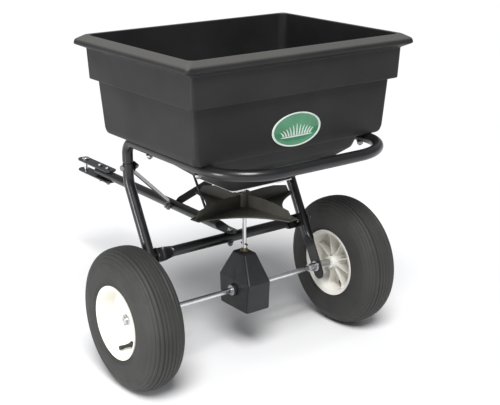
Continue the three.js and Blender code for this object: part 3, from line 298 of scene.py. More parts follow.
def loft(rings, closed=False):
    """A skin through rings of equal length: (points, faces). Open stacks get flat ends."""
    count = len(rings[0])
    points = [point for ring in rings for point in ring]
    faces = []
    pairs = len(rings) if closed else len(rings) - 1
    for r in range(pairs):
        low = r * count
        high = (r + 1) % len(rings) * count
        for i in range(count):
            j = (i + 1) % count
            faces.append((low + i, low + j, high + j, high + i))
    if not closed:
        last = (len(rings) - 1) * count
        faces.append(tuple(reversed(range(count))))
        faces.append(tuple(range(last, last + count)))
    return points, faces


def together(*shapes):
    """Several shapes as one list of points and faces."""
    points = []
    faces = []
    for shape_points, shape_faces in shapes:
        start = len(points)
        points.extend(shape_points)
        faces.extend(tuple(start + i for i in face) for face in shape_faces)
    return points, faces


def moved(shape, matrix):
    points, faces = shape
    return [matrix @ Vector(point) for point in points], faces


def towards(here, there, distance):
    share = distance / math.dist(here, there)
    return [a + (b - a) * share for a, b in zip(here, there)]


def smooth_rows(rows, steps=5):
    """Rounds the corners of a run of rows. A row's last value is how far its rounding reaches."""
    smooth = []
    for i, (*here, reach) in enumerate(rows):
        if not reach:
            smooth.append(here)
            continue
        start = towards(here, rows[i - 1][:-1], reach)
        end = towards(here, rows[(i + 1) % len(rows)][:-1], reach)
        for step in range(steps + 1):
            t = step / steps
            smooth.append([a * (1 - t) ** 2 + b * 2 * t * (1 - t) + c * t * t
                           for a, b, c in zip(start, here, end)])
    return smooth


def rounded_rect(z, half_x, half_y, radius, steps=8):
    ring = []
    for quarter, (sign_x, sign_y) in enumerate(((1, 1), (-1, 1), (-1, -1), (1, -1))):
        for step in range(steps + 1):
            angle = (quarter + step / steps) * math.pi / 2
            x = sign_x * (half_x - radius) + radius * math.cos(angle)
            y = sign_y * (half_y - radius) + radius * math.sin(angle)
            ring.append(Vector((x, y, z)))
    return ring


def side_directions(axis):
    """Two directions across an axis, so that first x second = axis."""
    guide = Z_AXIS if abs(axis.z) < 0.9 else X_AXIS
    first = guide.cross(axis).normalized()
    return first, axis.cross(first)


def circle(centre, first, second, radius, sides):
    """Points round a circle, from the first direction towards the second."""
    angles = [2 * math.pi * i / sides for i in range(sides)]
    return [centre + (first * math.cos(a) + second * math.sin(a)) * radius for a in angles]


def turned(centre, axis, profile, sides=48, hollow=True):
    """Turns (along, radius) pairs about an axis. A hollow profile is an outline that closes on itself."""
    first, second = side_directions(axis)
    rings = [circle(centre + axis * along, first, second, radius, sides) for along, radius in profile]
    return loft(rings, closed=hollow)


def solid_turned(centre, axis, profile, sides=48):
    return turned(centre, axis, profile, sides, hollow=False)


def sleeve(centre, axis, low, high, outer, inner, edge=0.6, sides=48):
    profile = [
        (low + edge, outer), (high - edge, outer), (high, outer - edge),
        (high, inner), (low, inner), (low, outer - edge),
    ]
    return turned(centre, axis, profile, sides)


def solid_bar(centre, axis, low, high, radius, edge=0.8, sides=40):
    profile = [(low, radius - edge), (low + edge, radius), (high - edge, radius), (high, radius - edge)]
    return solid_turned(centre, axis, profile, sides)


def bent_path(corners, steps=10):
    """Points and tangents along straight runs joined by round bends: corners are (point, bend)."""
    points = [Vector(point) for point, _ in corners]
    path = [(points[0], (points[1] - points[0]).normalized())]
    for i in range(1, len(points) - 1):
        before = (points[i] - points[i - 1]).normalized()
        after = (points[i + 1] - points[i]).normalized()
        turn = before.angle(after)
        bend = corners[i][1]
        first = points[i] - before * bend * math.tan(turn / 2)
        centre = points[i] + (after - before).normalized() * bend / math.cos(turn / 2)
        axis = before.cross(after).normalized()
        for step in range(steps + 1):
            spin = Quaternion(axis, turn * step / steps)
            path.append((centre + spin @ (first - centre), spin @ before))
    path.append((points[-1], (points[-1] - points[-2]).normalized()))
    return path


def carried_sides(path, first):
    """A side direction for each station, carried along the path without twisting."""
    carried = [first]
    for (_, before), (_, after) in zip(path, path[1:]):
        carried.append(before.rotation_difference(after) @ carried[-1])
    return carried


def ring_across(point, tangent, side, radius, sides=32):
    return circle(point, side, tangent.cross(side), radius, sides)


def tube(corners, radius, wall=0.0, steps=10, sides=32):
    """A round tube along bends. With a wall its ends are open, otherwise they are rounded off."""
    path = bent_path(corners, steps)
    first, _ = side_directions(path[0][1])
    across = carried_sides(path, first)
    rings = [ring_across(p, t, s, radius, sides) for (p, t), s in zip(path, across)]
    bore_depth = 18
    if wall:
        end_rows = [(0.0, radius - wall), (bore_depth, radius - wall)]
    else:
        end_rows = [(-radius * 0.18, radius * 0.72)]

    def end_rings(station, side, sign):
        point, tangent = station
        return [ring_across(point + tangent * sign * along, tangent, side, r, sides)
                for along, r in end_rows]

    head = end_rings(path[0], across[0], 1)
    tail = end_rings(path[-1], across[-1], -1)
    return loft([*reversed(head), *rings, *tail])


def superellipse(centre, wide_axis, wide, thin_axis, thin, power, sides=48):
    """A section across a pressed tube: power 2 is an oval, and more is flatter and squarer."""
    ring = []
    for i in range(sides):
        angle = 2 * math.pi * (i + 0.5) / sides
        c = math.cos(angle)
        s = math.sin(angle)
        along_wide = math.copysign(abs(c) ** (2 / power), c) * wide
        along_thin = math.copysign(abs(s) ** (2 / power), s) * thin
        ring.append(centre + wide_axis * along_wide + thin_axis * along_thin)
    return ring


def ease(t):
    t = min(max(t, 0.0), 1.0)
    return t * t * (3 - 2 * t)


def mixed(a, b, t):
    return a + (b - a) * t


def strip(corners, across, width, thickness, tip_start, tip_end, edge=0.5):
    """A flat bar along bends. A round tip ends in half a circle, and a cut one loses its corners."""
    path = bent_path(corners, 6)
    lengths = [0.0]
    for (a, _), (b, _) in zip(path, path[1:]):
        lengths.append(lengths[-1] + (b - a).length)
    total = lengths[-1]
    half = width / 2
    corner = 8.0
    count = 12

    def stations_near(tip):
        if tip == "round":
            return [half * (1 - math.cos(math.pi / 2 * step / count)) for step in range(1, count + 1)]
        return [corner]

    def half_width(tip, distance):
        if tip == "round" and distance < half:
            return math.sqrt(max(half ** 2 - (half - distance) ** 2, 1.5))
        if tip == "cut" and distance < corner:
            return half - corner + distance
        return half

    def station(s):
        k = next(k for k in range(len(lengths) - 1) if s <= lengths[k + 1] + 1e-3)
        t = (s - lengths[k]) / (lengths[k + 1] - lengths[k])
        return path[k][0].lerp(path[k + 1][0], t), path[k][1].lerp(path[k + 1][1], t).normalized()

    stops = [*lengths, *stations_near(tip_start), *[total - s for s in stations_near(tip_end)]]
    thin = thickness / 2
    rings = []
    for s in sorted({round(s, 4) for s in stops}):
        point, tangent = station(s)
        normal = tangent.cross(across).normalized()
        w = min(half_width(tip_start, s), half_width(tip_end, total - s))
        outline = [(w - edge, thin), (w, thin - edge), (w, edge - thin), (w - edge, -thin),
                   (edge - w, -thin), (-w, edge - thin), (-w, thin - edge), (edge - w, thin)]
        rings.append([point + across * a + normal * b for a, b in outline])
    return loft(rings)


def hexagon_ring(centre, first, second, apothem, limit, sides=36):
    """A hexagon whose corners are cut off by a circle, as a chamfered head's are."""
    ring = []
    for i in range(sides):
        angle = 2 * math.pi * i / sides
        folded = (angle + math.pi / 6) % (math.pi / 3) - math.pi / 6
        reach = min(apothem / math.cos(folded), limit)
        ring.append(centre + (first * math.cos(angle) + second * math.sin(angle)) * reach)
    return ring


def hexagon(centre, axis, height, apothem, both_ends=False):
    """A bolt head or nut standing on its centre and rising along the axis."""
    first, second = side_directions(axis)
    corner = apothem * 1.16
    soft = height * 0.16
    foot = [(0, apothem), (soft, corner)] if both_ends else [(0, corner)]
    rows = [*foot, (height - soft, corner), (height, apothem * 0.97)]
    return loft([hexagon_ring(centre + axis * z, first, second, apothem, limit) for z, limit in rows])


def threaded_end(centre, axis, length, radius, pitch=1.25):
    profile = [(-0.5, radius * 0.9)]
    for turn in range(math.ceil((length - 0.8) / pitch)):
        z = turn * pitch
        profile += [(z, radius * 0.88), (z + pitch / 2, radius)]
    profile += [(length - 0.5, radius * 0.86), (length, radius * 0.7)]
    return solid_turned(centre, axis, profile, 24)


def bolt_shape(head_seat, nut_seat, washer=True):
    """A hexagon bolt between two seats, with a nut, its thread showing past it, and maybe a washer."""
    radius = 4.0
    axis = (head_seat - nut_seat).normalized()
    reach = (head_seat - nut_seat).length
    nut_base = nut_seat - axis * (1.3 if washer else 0)
    shapes = [
        hexagon(head_seat, axis, radius * 1.3, radius * 1.6),
        hexagon(nut_base, -axis, radius * 1.45, radius * 1.6, both_ends=True),
        solid_bar(nut_seat, axis, 0.1, reach + 0.1, radius * 0.97, 0.2, 24),
        threaded_end(nut_base - axis * radius * 1.4, -axis, 3.4, radius),
    ]
    if washer:
        shapes.append(sleeve(nut_seat, -axis, 0, 1.2, radius * 2.05, radius * 0.98, 0.3, 32))
    return together(*shapes)


# ---------------------------------------------------------------- making pieces

def new_object(name, shape):
    """An object from a shape in millimetres."""
    points, faces = shape
    mesh = bpy.data.meshes.new(name)
    mesh.from_pydata([world(point) for point in points], [], faces)
    made = bpy.data.objects.new(name, mesh)
    bpy.context.scene.collection.objects.link(made)
    return made


def cleaned(made, sharp=35):
    """Joins points that meet, turns faces outwards, and shades edges smooth below an angle in degrees."""
    work = bmesh.new()
    work.from_mesh(made.data)
    bmesh.ops.remove_doubles(work, verts=work.verts, dist=1e-6)
    bmesh.ops.recalc_face_normals(work, faces=work.faces)
    limit = math.radians(sharp)
    for face in work.faces:
        face.smooth = True
    for edge in work.edges:
        edge.smooth = edge.calc_face_angle(0) < limit
    work.to_mesh(made.data)
    work.free()
    return made


def piece(name, shape, *options, **more):
    """Makes an object from a shape in millimetres, with the options of `finished`."""
    return finished(new_object(name, shape), *options, **more)


def painted(name, shape, node):
    """A black painted part of the frame."""
    return piece(name, shape, BLACK_PAINT, "frame", [node], "black_paint")


def finished(made, material, body, stands_for=(), slot=None, sharp=35, weighted=False):
    """Gives an object its material, and fixes it to a body of the frame."""
    cleaned(made, sharp)
    made.data.materials.clear()
    made.data.materials.append(material)
    if weighted:
        keep_flats = made.modifiers.new("keep_flats", "WEIGHTED_NORMAL")
        keep_flats.keep_sharp = True
    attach(made, body)
    if stands_for:
        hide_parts(*stands_for)
    return made


def combined(name, base, steps):
    """Joins shapes to a base or cuts them from it: steps are (operation, shape) pairs."""
    made = cleaned(new_object(name, base))
    tools = []
    for operation, shape in steps:
        tool = cleaned(new_object("tool", shape))
        tools.append(tool)
        modifier = made.modifiers.new(operation, "BOOLEAN")
        modifier.operation = operation
        modifier.solver = "EXACT"
        modifier.object = tool
    bpy.context.view_layer.update()
    depsgraph = bpy.context.evaluated_depsgraph_get()
    solid = bpy.data.meshes.new_from_object(made.evaluated_get(depsgraph))
    made.modifiers.clear()
    made.data = solid
    for tool in tools:
        bpy.data.objects.remove(tool)
    return made


# ---------------------------------------------------------------- hopper

def add_hopper():
    floor = HOPPER_LOW.z
    top = HOPPER_HIGH.z
    half_x = HOPPER_HIGH.x
    half_y = HOPPER_HIGH.y
    # Rows of height, half length, half width, corner radius and rounding.
    outside = [
        (floor, 88, 75, 14, 0),
        (517, 197, 166, 24, 5),
        (SHELF_Z, 206, 175, 22, 2),
        (SHELF_Z, 257, 187, 15, 9),
        (562, 260.5, 189, 12, 3),
        (671, 267, 197, 11, 1.6),
        (673.5, 280.5, 213, 10, 3),
        (743, 283, 217, 10, 2.5),
        (752.5, half_x + 0.6, half_y + 0.6, 9, 4),
        (763, half_x - 1.5, half_y - 1.5, 9, 4.5),
        (top, 284, 214.5, 10, 5),
        (top - 1.5, 279.5, 210.5, 20, 2),
    ]
    inside = [
        (679, 276.5, 207.6, 19, 3),
        (673, 263, 192.6, 17, 3),
        (SHELF_Z + 4, 256, 183, 17, 13),
        (SHELF_Z + 4, 202, 171, 20, 3),
        (521.5, 192, 161, 20, 6),
        (floor + 4, 86, 72, 12, 3),
        (floor + 4, 62, 46, 12, 1),
        (floor, 62, 46, 12, 0),
    ]
    rings = [rounded_rect(*row) for row in smooth_rows(outside + inside)]
    piece("hopper_shell", loft(rings, closed=True), HOPPER_PLASTIC, "frame", ["hopper"],
          "hopper_plastic", weighted=True)


def on_rear_wall():
    """Places (right, up, out) on the hopper's rear wall, with the badge's back on it."""
    lean = math.atan2(8, 109)
    half_thickness = 1.25
    up = Vector((0, -math.sin(lean), math.cos(lean)))
    out = Vector((0, -math.cos(lean), -math.sin(lean)))
    matrix = Matrix((X_AXIS, up, out)).transposed().to_4x4()
    matrix.translation = middle("badge") - out * half_thickness
    return matrix


def oval_rings(rows, half_wide, half_high, sides=72):
    """Ovals of growing or shrinking size: rows are (scale, height above the wall)."""
    return [
        [Vector((half_wide * scale * math.cos(2 * math.pi * i / sides),
                 half_high * scale * math.sin(2 * math.pi * i / sides), out))
         for i in range(sides)]
        for scale, out in rows
    ]


MOTIF_BACK = 1.6
MOTIF_FRONT = 2.9
MOTIF_FOOT = -12


def grass_blade(root, lean, length, width):
    """A thin raised leaf that curves outwards as it rises."""
    rows = 7
    tip = 0.12
    left = []
    right = []
    for i in range(rows + 1):
        t = i / rows
        bend = math.radians(lean) * (0.35 + 0.65 * t)
        rise = length * t
        centre = Vector((root + math.sin(bend) * rise, MOTIF_FOOT + math.cos(bend) * rise, 0))
        half = width / 2 * (1 - t) ** 0.7 + tip
        normal = Vector((math.cos(bend), -math.sin(bend), 0))
        left.append(centre - normal * half)
        right.append(centre + normal * half)
    outline = [*right, *reversed(left)]
    return loft([[point + Z_AXIS * out for point in outline] for out in (MOTIF_BACK, MOTIF_FRONT)])


def add_badge():
    low, high = box_mm("badge")
    wide = (high.x - low.x) / 2
    tall = (high.z - low.z) / 2
    wall = on_rear_wall()
    rim_rows = [(0.90, 0.4), (0.995, 0.4), (1.0, 0.9), (1.0, 1.7), (0.985, 2.4), (0.965, 2.7),
                (0.945, 2.6), (0.93, 2.0), (0.90, 1.6)]
    rim = loft(oval_rings(rim_rows, wide, tall), closed=True)
    piece("badge_rim", moved(rim, wall), BADGE_PALE, "frame", ["badge"], "badge")
    field_rows = [(0.925, 0.5), (0.925, 1.7), (0.9, 1.95), (0.7, 2.1), (0.45, 2.25), (0.2, 2.3),
                  (0.04, 2.32)]
    field = loft(oval_rings(field_rows, wide, tall))
    piece("badge_field", moved(field, wall), BADGE_GREEN, "frame", slot="badge")
    blades = [grass_blade(i * 7.2, i * 9, 25 - 2.1 * abs(i), 4.2) for i in range(-5, 6)]
    ground = loft(oval_rings([(1, MOTIF_BACK), (1, MOTIF_FRONT)], 44, 1.7, 48))
    lowered = moved(ground, Matrix.Translation((0, MOTIF_FOOT - 2.5, 0)))
    piece("badge_motif", moved(together(*blades, lowered), wall), BADGE_PALE, "frame", slot="badge")


def add_hopper_bolts():
    """Carriage bolts hold the hopper's ledge down on the rails."""
    floor_thickness = 4.2
    dome_profile = [(0, 9), (1.2, 8.7), (2.6, 6.6), (3.4, 3.4), (3.6, 0.8)]
    for name, side in SIDES:
        for place, y in (("front", 45), ("rear", -148)):
            seat = Vector((side * RAIL_X, y, SHELF_Z + floor_thickness))
            under = Vector((side * RAIL_X, y, RAIL_Z - TUBE - 0.1))
            dome = solid_turned(seat, Z_AXIS, dome_profile, 32)
            washer = sleeve(under, -Z_AXIS, 0, 1.4, 8.5, 3.9, 0.3, 32)
            nut = hexagon(under - Z_AXIS * 1.5, -Z_AXIS, 6, 6.4, both_ends=True)
            tail = threaded_end(under - Z_AXIS * 7.2, -Z_AXIS, 3.2, 4.0)
            piece(f"hopper_bolt_{name}_{place}", dome, ZINC, "frame", slot="fastener_zinc")
            piece(f"hopper_nut_{name}_{place}", together(washer, nut, tail), BOLT_ZINC, "frame",
                  slot="fastener_zinc")


def add_outlet_rivets():
    """Four rivets hold the outlet plate up against the hopper's floor."""
    low, high = box_mm("outlet_plate")
    inset = 8
    profile = [(-0.4, 4.6), (0.5, 4.4), (1.4, 3.4), (1.9, 1.8), (2.0, 0.4)]
    places = [(x, y) for y in (low.y + inset, high.y - inset) for x in (low.x + inset, high.x - inset)]
    for i, (x, y) in enumerate(places):
        rivet = solid_turned(Vector((x, y, low.z)), -Z_AXIS, profile, 24)
        piece(f"outlet_rivet_{i + 1}", rivet, ZINC, "frame", slot="fastener_zinc")


# ---------------------------------------------------------------- frame

def add_hopper_frame():
    front_bend = 32
    rear_bend = 118
    corners = [
        ((-RAIL_X, LEG_Y, STUB_Z), 0),
        ((-RAIL_X, LEG_Y, RAIL_Z), front_bend),
        ((-RAIL_X, REAR_Y, RAIL_Z), rear_bend),
        ((RAIL_X, REAR_Y, RAIL_Z), rear_bend),
        ((RAIL_X, LEG_Y, RAIL_Z), front_bend),
        ((RAIL_X, LEG_Y, STUB_Z), 0),
    ]
    loop = tube(corners, TUBE, wall=TUBE_WALL, steps=16, sides=40)
    painted("hopper_frame_tube", loop, "hopper_frame")


def round_tip(end, half_wide):
    """Places along a flattened tube where its round end needs a section, from its tip inwards."""
    return [end + half_wide * (1 - math.cos(math.radians(angle))) for angle in range(10, 91, 10)]


def tip_width(from_tip, half_wide):
    share = min(1.0, from_tip / half_wide)
    return half_wide * math.sqrt(max(0.0, 1 - (1 - share) ** 2))


def leg_rings(x):
    """Sections from the pressed foot up to the neck that enters the hopper frame."""
    foot_wide = 18.5
    foot_thin = 2.0
    flat_until = 44
    round_from = 94
    knee_bend = 70
    axle = Vector((x, 0, AXLE_Z))
    rings = []
    stops = [*round_tip(-FOOT_END, foot_wide), 5, 25, *range(flat_until, round_from + 1, 5)]
    for along in stops:
        blend = ease((along - flat_until) / (round_from - flat_until))
        wide = mixed(tip_width(along + FOOT_END, foot_wide), TUBE, blend)
        thin = mixed(foot_thin, TUBE, ease(blend * 1.1))
        centre = axle + LEG_UP * along
        rings.append(superellipse(centre, LEG_FORWARD, wide, X_AXIS, thin, mixed(FLAT, ROUND, blend)))
    path = bent_path([(axle, 0), ((x, LEG_Y, KNEE_Z), knee_bend), ((x, LEG_Y, STUB_Z), 0)])[1:-1]
    for point, tangent in path:
        rings.append(superellipse(point, Vector((0, tangent.z, -tangent.y)), TUBE, X_AXIS, TUBE, ROUND))
    shoulder = STUB_Z - 4
    neck = 10.7
    for z, radius in ((shoulder - 0.6, TUBE), (shoulder, TUBE - 0.6), (shoulder, neck), (STUB_Z + 8, neck)):
        rings.append(superellipse(Vector((x, LEG_Y, z)), Y_AXIS, radius, X_AXIS, radius, ROUND))
    return rings


def add_legs():
    for name, side in SIDES:
        leg = loft(leg_rings(side * RAIL_X))
        painted(f"{name}_leg_tube", leg, f"{name}_leg")


def add_cross_tube():
    tab_x = RAIL_X - TUBE - GAP
    flat_from = tab_x - 24
    round_until = tab_x - 50
    half_high = 17
    forward = 10.6
    half_thin = 2.0
    tab_half_deep = 12.6
    centre = Vector((0, CROSS_Y, CROSS_Z))

    def section(x):
        blend = ease((abs(x) - round_until) / (flat_from - round_until))
        point = centre + X_AXIS * x + LEG_FORWARD * forward * ease(blend)
        return superellipse(point, LEG_UP, mixed(TUBE, half_high, blend), LEG_FORWARD,
                            mixed(TUBE, half_thin, blend), mixed(ROUND, FLAT, blend))

    count = 9
    ends = [tab_x - 2, flat_from + 8]
    ends += [flat_from - (flat_from - round_until) * i / count for i in range(count + 1)]
    stops = [-x for x in ends] + list(reversed(ends))
    body = loft([section(x) for x in stops])
    tab_rows = [(tab_x - 4, 0.6), (tab_x - 3.4, 0), (tab_x - 0.6, 0), (tab_x, 0.6)]
    tabs = [loft([superellipse(centre + X_AXIS * side * x, LEG_UP, half_high - inset,
                               LEG_FORWARD, tab_half_deep - inset, 6)
                  for x, inset in tab_rows])
            for _, side in SIDES]
    painted("cross_tube_pressed", together(body, *tabs), "cross_tube")


def add_tongue():
    thin = 2.2
    wide = 17.6
    flat_z = CROSS_Z + TUBE + GAP + thin
    rear = TONGUE_LOW.y
    front = TONGUE_HIGH.y
    flat_until = CROSS_Y + 22
    round_from = CROSS_Y + 58
    count = 9
    stops = round_tip(rear, wide)
    stops += [flat_until + (round_from - flat_until) * i / count for i in range(count + 1)]
    stops += [round_from + 40, front - 0.8]
    rings = []
    for y in stops:
        blend = ease((y - flat_until) / (round_from - flat_until))
        half = mixed(tip_width(y - rear, wide), TUBE, blend)
        centre = Vector((0, y, mixed(flat_z, TONGUE_Z, ease(blend))))
        rings.append(superellipse(centre, X_AXIS, half, Z_AXIS, mixed(thin, TUBE, blend),
                                  mixed(FLAT, ROUND, blend)))
    bore = TUBE - 1.7
    for y, radius in ((front, TUBE - 0.7), (front, bore), (front - 30, bore)):
        rings.append(superellipse(Vector((0, y, TONGUE_Z)), X_AXIS, radius, Z_AXIS, radius, ROUND))
    painted("tongue_tube", loft(rings), "tongue")


def add_braces():
    start = Vector((0, BRACE_TOP.y, BRACE_TOP.z))
    run = Vector((0, BRACE_FOOT.y, BRACE_FOOT.z)) - start
    along = run.normalized()
    wide = Vector((0, -along.z, along.y))
    tab = 14
    bend = 6
    width = 20
    leg_face = RAIL_X - TUBE - GAP - STRAP / 2
    tongue_face = TUBE + GAP + STRAP / 2
    line = [(-tab, leg_face, 0), (tab, leg_face, bend), (run.length - tab, tongue_face, bend),
            (run.length + tab, tongue_face, 0)]
    for name, side in SIDES:
        corners = [(start + along * s + X_AXIS * side * x, reach) for s, x, reach in line]
        strap = strip(corners, wide, width, STRAP, "round", "round")
        painted(f"{name}_brace_strap", strap, f"{name}_brace")


def add_hitch():
    """Two level plates, one above and one below the tongue, make the clevis."""
    for node in ("hitch_upper_plate", "hitch_lower_plate"):
        low, high = box_mm(node)
        size = high - low
        level = (low.z + high.z) / 2
        plate = strip([((0, low.y, level), 0), ((0, high.y, level), 0)], X_AXIS, size.x, size.z,
                      "cut", "round", 0.8)
        painted(f"{node}_cut", plate, node)


def add_hitch_pin():
    low, high = box_mm("hitch_pin")
    centre = Vector((0, (low.y + high.y) / 2, 0))
    head = high.z - 6
    profile = [(low.z, 2.6), (low.z + 1, 4), (low.z + 4, 6.2), (head, 6.2), (head, 10.2), (head + 0.8, 11),
               (head + 3.6, 11), (head + 4.6, 10.2), (head + 6, 6)]
    pin = solid_turned(centre, Z_AXIS, profile, 48)
    piece("hitch_pin_turned", pin, ZINC, "hitch_pin", ["hitch_pin"], "zinc")


def add_frame_bolts():
    inner = RAIL_X - TUBE
    outer = RAIL_X + TUBE + GAP
    tube_face = TUBE + GAP
    strap_face = STRAP + 2 * GAP
    tab_face = 4 + 2 * GAP
    plate_face = 5 + GAP

    def bolted(name, node, head_seat, nut_seat):
        piece(name, bolt_shape(Vector(head_seat), Vector(nut_seat)), BOLT_ZINC, "frame", [node],
              "fastener_zinc")

    def across(name, node, place, head_x, nut_x):
        bolted(name, node, (head_x, place.y, place.z), (nut_x, place.y, place.z))

    def upright(node, head_z, nut_z):
        place = middle(node)
        bolted(f"{node}_set", node, (place.x, place.y, head_z), (place.x, place.y, nut_z))

    for name, side in SIDES:
        across(f"{name}_brace_bolt_set", f"{name}_brace_bolt", BRACE_TOP, side * outer,
               side * (inner - strap_face))
        across(f"{name}_cross_bolt_set", f"{name}_cross_bolt", CROSS_BOLT, side * (inner - tab_face),
               side * outer)
    across("brace_tongue_bolt_set", "brace_tongue_bolt", BRACE_FOOT, tube_face + STRAP + GAP,
           -tube_face - STRAP - GAP)
    upright("tongue_cross_bolt", CROSS_Z + tube_face + 4.7, CROSS_Z - tube_face)
    for node in ("hitch_rear_bolt", "hitch_front_bolt"):
        upright(node, TONGUE_Z + tube_face + plate_face, TONGUE_Z - tube_face - plate_face)


# ---------------------------------------------------------------- flow control

def add_flow_control():
    pivot = Vector((0, 262, 500))
    low = box_mm("flow_stay")[0]
    radius = 3.2
    foot_z = low.z + radius
    stay = [((0, low.y, foot_z), 0), ((0, 155, foot_z), 14), ((0, 236, 431), 40), ((0, 248, 488), 0)]
    painted("flow_stay_rod", tube(stay, radius, sides=24), "flow_stay")

    low, high = box_mm("gate_link")
    radius = 3.0
    link_x = 16
    gate_y = 100
    slot_z = 433
    run_z = low.z + radius
    link = [((link_x, gate_y, high.z - 0.8), 0), ((link_x, gate_y, run_z), 8),
            ((link_x, pivot.y - 30, run_z), 8), ((link_x, pivot.y, slot_z), 5),
            ((low.x + 0.3, pivot.y, slot_z), 0)]
    piece("gate_link_rod", tube(link, radius, sides=24), ZINC, "gate", ["gate_link"], "zinc")

    low, high = box_mm("lever_grip")
    foot = Vector(((low.x + high.x) / 2, (low.y + high.y) / 2, low.z))
    length = high.z - low.z
    profile = [(0, 9.5), (0, 11.4), (1.2, 12.2)]
    ribs = 9
    for i in range(ribs):
        z = 6 + i * (length - 22) / ribs
        profile += [(z, 13.2), (z + 4.2, 13.4), (z + 5.2, 12.4), (z + 6.4, 12.4)]
    profile += [(length - 9, 13.0), (length - 3.5, 11.4), (length - 0.8, 7.2), (length, 3)]
    piece("lever_grip_ribbed", solid_turned(foot, Z_AXIS, profile, 40), GRIP_VINYL, "flow_lever",
          ["lever_grip"], "grip")

    bolt = bolt_shape(pivot + X_AXIS * 11.2, pivot + X_AXIS * 3.1, washer=False)
    piece("lever_pivot_bolt_set", bolt, ZINC, "frame", ["lever_pivot_bolt"], "fastener_zinc")


# ---------------------------------------------------------------- wheels and axle

def curve_through(drawn, spacing):
    """A smooth curve through points, the last of which lies where the curve meets its mirror image."""
    fine = []
    for i in range(len(drawn) - 1):
        p0 = Vector(drawn[max(i - 1, 0)])
        p1 = Vector(drawn[i])
        p2 = Vector(drawn[i + 1])
        p3 = Vector(drawn[i + 2]) if i + 2 < len(drawn) else Vector((-drawn[i][0], drawn[i][1]))
        steps = max(2, round((p2 - p1).length / spacing))
        for step in range(steps):
            t = step / steps
            fine.append(0.5 * (2 * p1 + (p2 - p0) * t + (2 * p0 - 5 * p1 + 4 * p2 - p3) * t * t
                               + (3 * p1 - p0 - 3 * p2 + p3) * t ** 3))
    fine.append(Vector(drawn[-1]))
    return fine


def tyre_profile():
    """(along, radius) pairs round a tyre's section, with grooves in its tread and rings on its walls."""
    drawn_crown = 165
    drawn = [(44.2, 76.6), (44.4, 81), (44.8, 85.4), (46.8, 89.5), (49.0, 96), (49.6, 106),
             (49.4, 117), (48.0, 129), (45.2, 139.5), (41.0, 148.5), (35.5, 155.2), (28.5, 160),
             (20, 163.1), (10, 164.6), (0, drawn_crown)]
    scaled = [(a, r * AXLE_Z / drawn_crown) for a, r in drawn]
    # Both lists: place of a feature, half its width, and its depth or height.
    grooves = [(0, 1.7, 2.6), (9.5, 1.5, 2.6), (19, 1.5, 2.4), (28, 1.4, 2.0), (35.5, 1.2, 1.4),
               (41, 1.0, 0.9)]
    wall_rings = [(134.5, 1.2, 0.7), (131.5, 0.8, 0.5), (96, 1.3, 0.9), (91.5, 0.9, 0.6)]
    tread_from = 140
    wall_from = 40
    widest = 50.0
    centre = Vector((0, 118))

    def relief(features, place):
        return sum(size * math.exp(-((place - at) / width) ** 4) for at, width, size in features)

    half = []
    for point in curve_through(scaled, 0.8):
        depth = relief(grooves, point.x) if point.y > tread_from else 0.0
        depth -= relief(wall_rings, point.y) if point.x > wall_from else 0.0
        shaped = point - (point - centre).normalized() * depth
        half.append((min(shaped.x, widest), shaped.y))
    inner = [(13, 157), (39, 133), (41, 104), (36, 76.6)]
    mirror = [(-a, r) for a, r in reversed(half[:-1])]
    return half + mirror + [(-a, r) for a, r in reversed(inner)] + inner


def rim_shape(side):
    # Rows of place along the axle, radius and rounding, outwards positive.
    rows = [
        (-44, BORE, 0), (17, BORE, 0.6), (17, 14.6, 1.4), (7, 17.5, 5), (4.4, 60, 10), (4.6, 72.2, 5),
        (41, 73.2, 7), (47.6, 81, 4), (48, 85, 1.6), (44.3, 85, 1.2), (44.3, 76.2, 0), (-44.3, 76.2, 0),
        (-44.3, 85, 1.2), (-48, 85, 1.6), (-47.6, 81, 4), (-41, 73.2, 7), (0.6, 72.2, 5), (1.0, 20, 6),
        (-44, 15, 1.4),
    ]
    axis = X_AXIS * side
    centre = Vector((side * WHEEL_X, 0, AXLE_Z))
    body = turned(centre, axis, smooth_rows(rows, 4), 96)
    outline = [(2.5, 14), (-31, 14.5), (-29, 20), (-20, 62), (-24, 73.5), (2.5, 73.5)]
    half_thin = 1.7
    count = 8
    ribs = []
    for i in range(count):
        spin = Quaternion(axis, 2 * math.pi * (i + 0.5) / count)
        ribs.append(loft([
            [centre + spin @ (axis * along + Z_AXIS * out + Y_AXIS * half) for along, out in outline]
            for half in (-half_thin, half_thin)
        ]))
    return together(body, *ribs)


def add_wheel(name, side, body):
    centre = Vector((side * WHEEL_X, 0, AXLE_Z))
    axis = X_AXIS * side
    tyre = turned(centre, axis, tyre_profile(), 128)
    piece(f"{name}_tyre_ribbed", tyre, TYRE_RUBBER[name], body, [f"{name}_tyre"], "tyre_rubber", sharp=50)
    piece(f"{name}_rim_moulded", rim_shape(side), WHITE_PLASTIC, body, [f"{name}_rim"], "rim_plastic",
          sharp=40)
    stem = Vector((side * WHEEL_X, 0, middle(f"{name}_valve_stem").z))
    profile = [(-5, 3.6), (-5, 4.4), (4, 4.4), (4.9, 7.2), (5.6, 7.4), (8.2, 6.8), (12, 4.8), (20, 4.2),
               (28, 4.0), (28.4, 3.5), (29.6, 3.5), (30, 4.9), (30.6, 5.1), (37.4, 4.9), (38.8, 4.0),
               (39, 2.0)]
    piece(f"{name}_valve_stem_turned", solid_turned(stem, axis, profile, 32), BLACK_RUBBER, body,
          [f"{name}_valve_stem"], "valve_rubber")


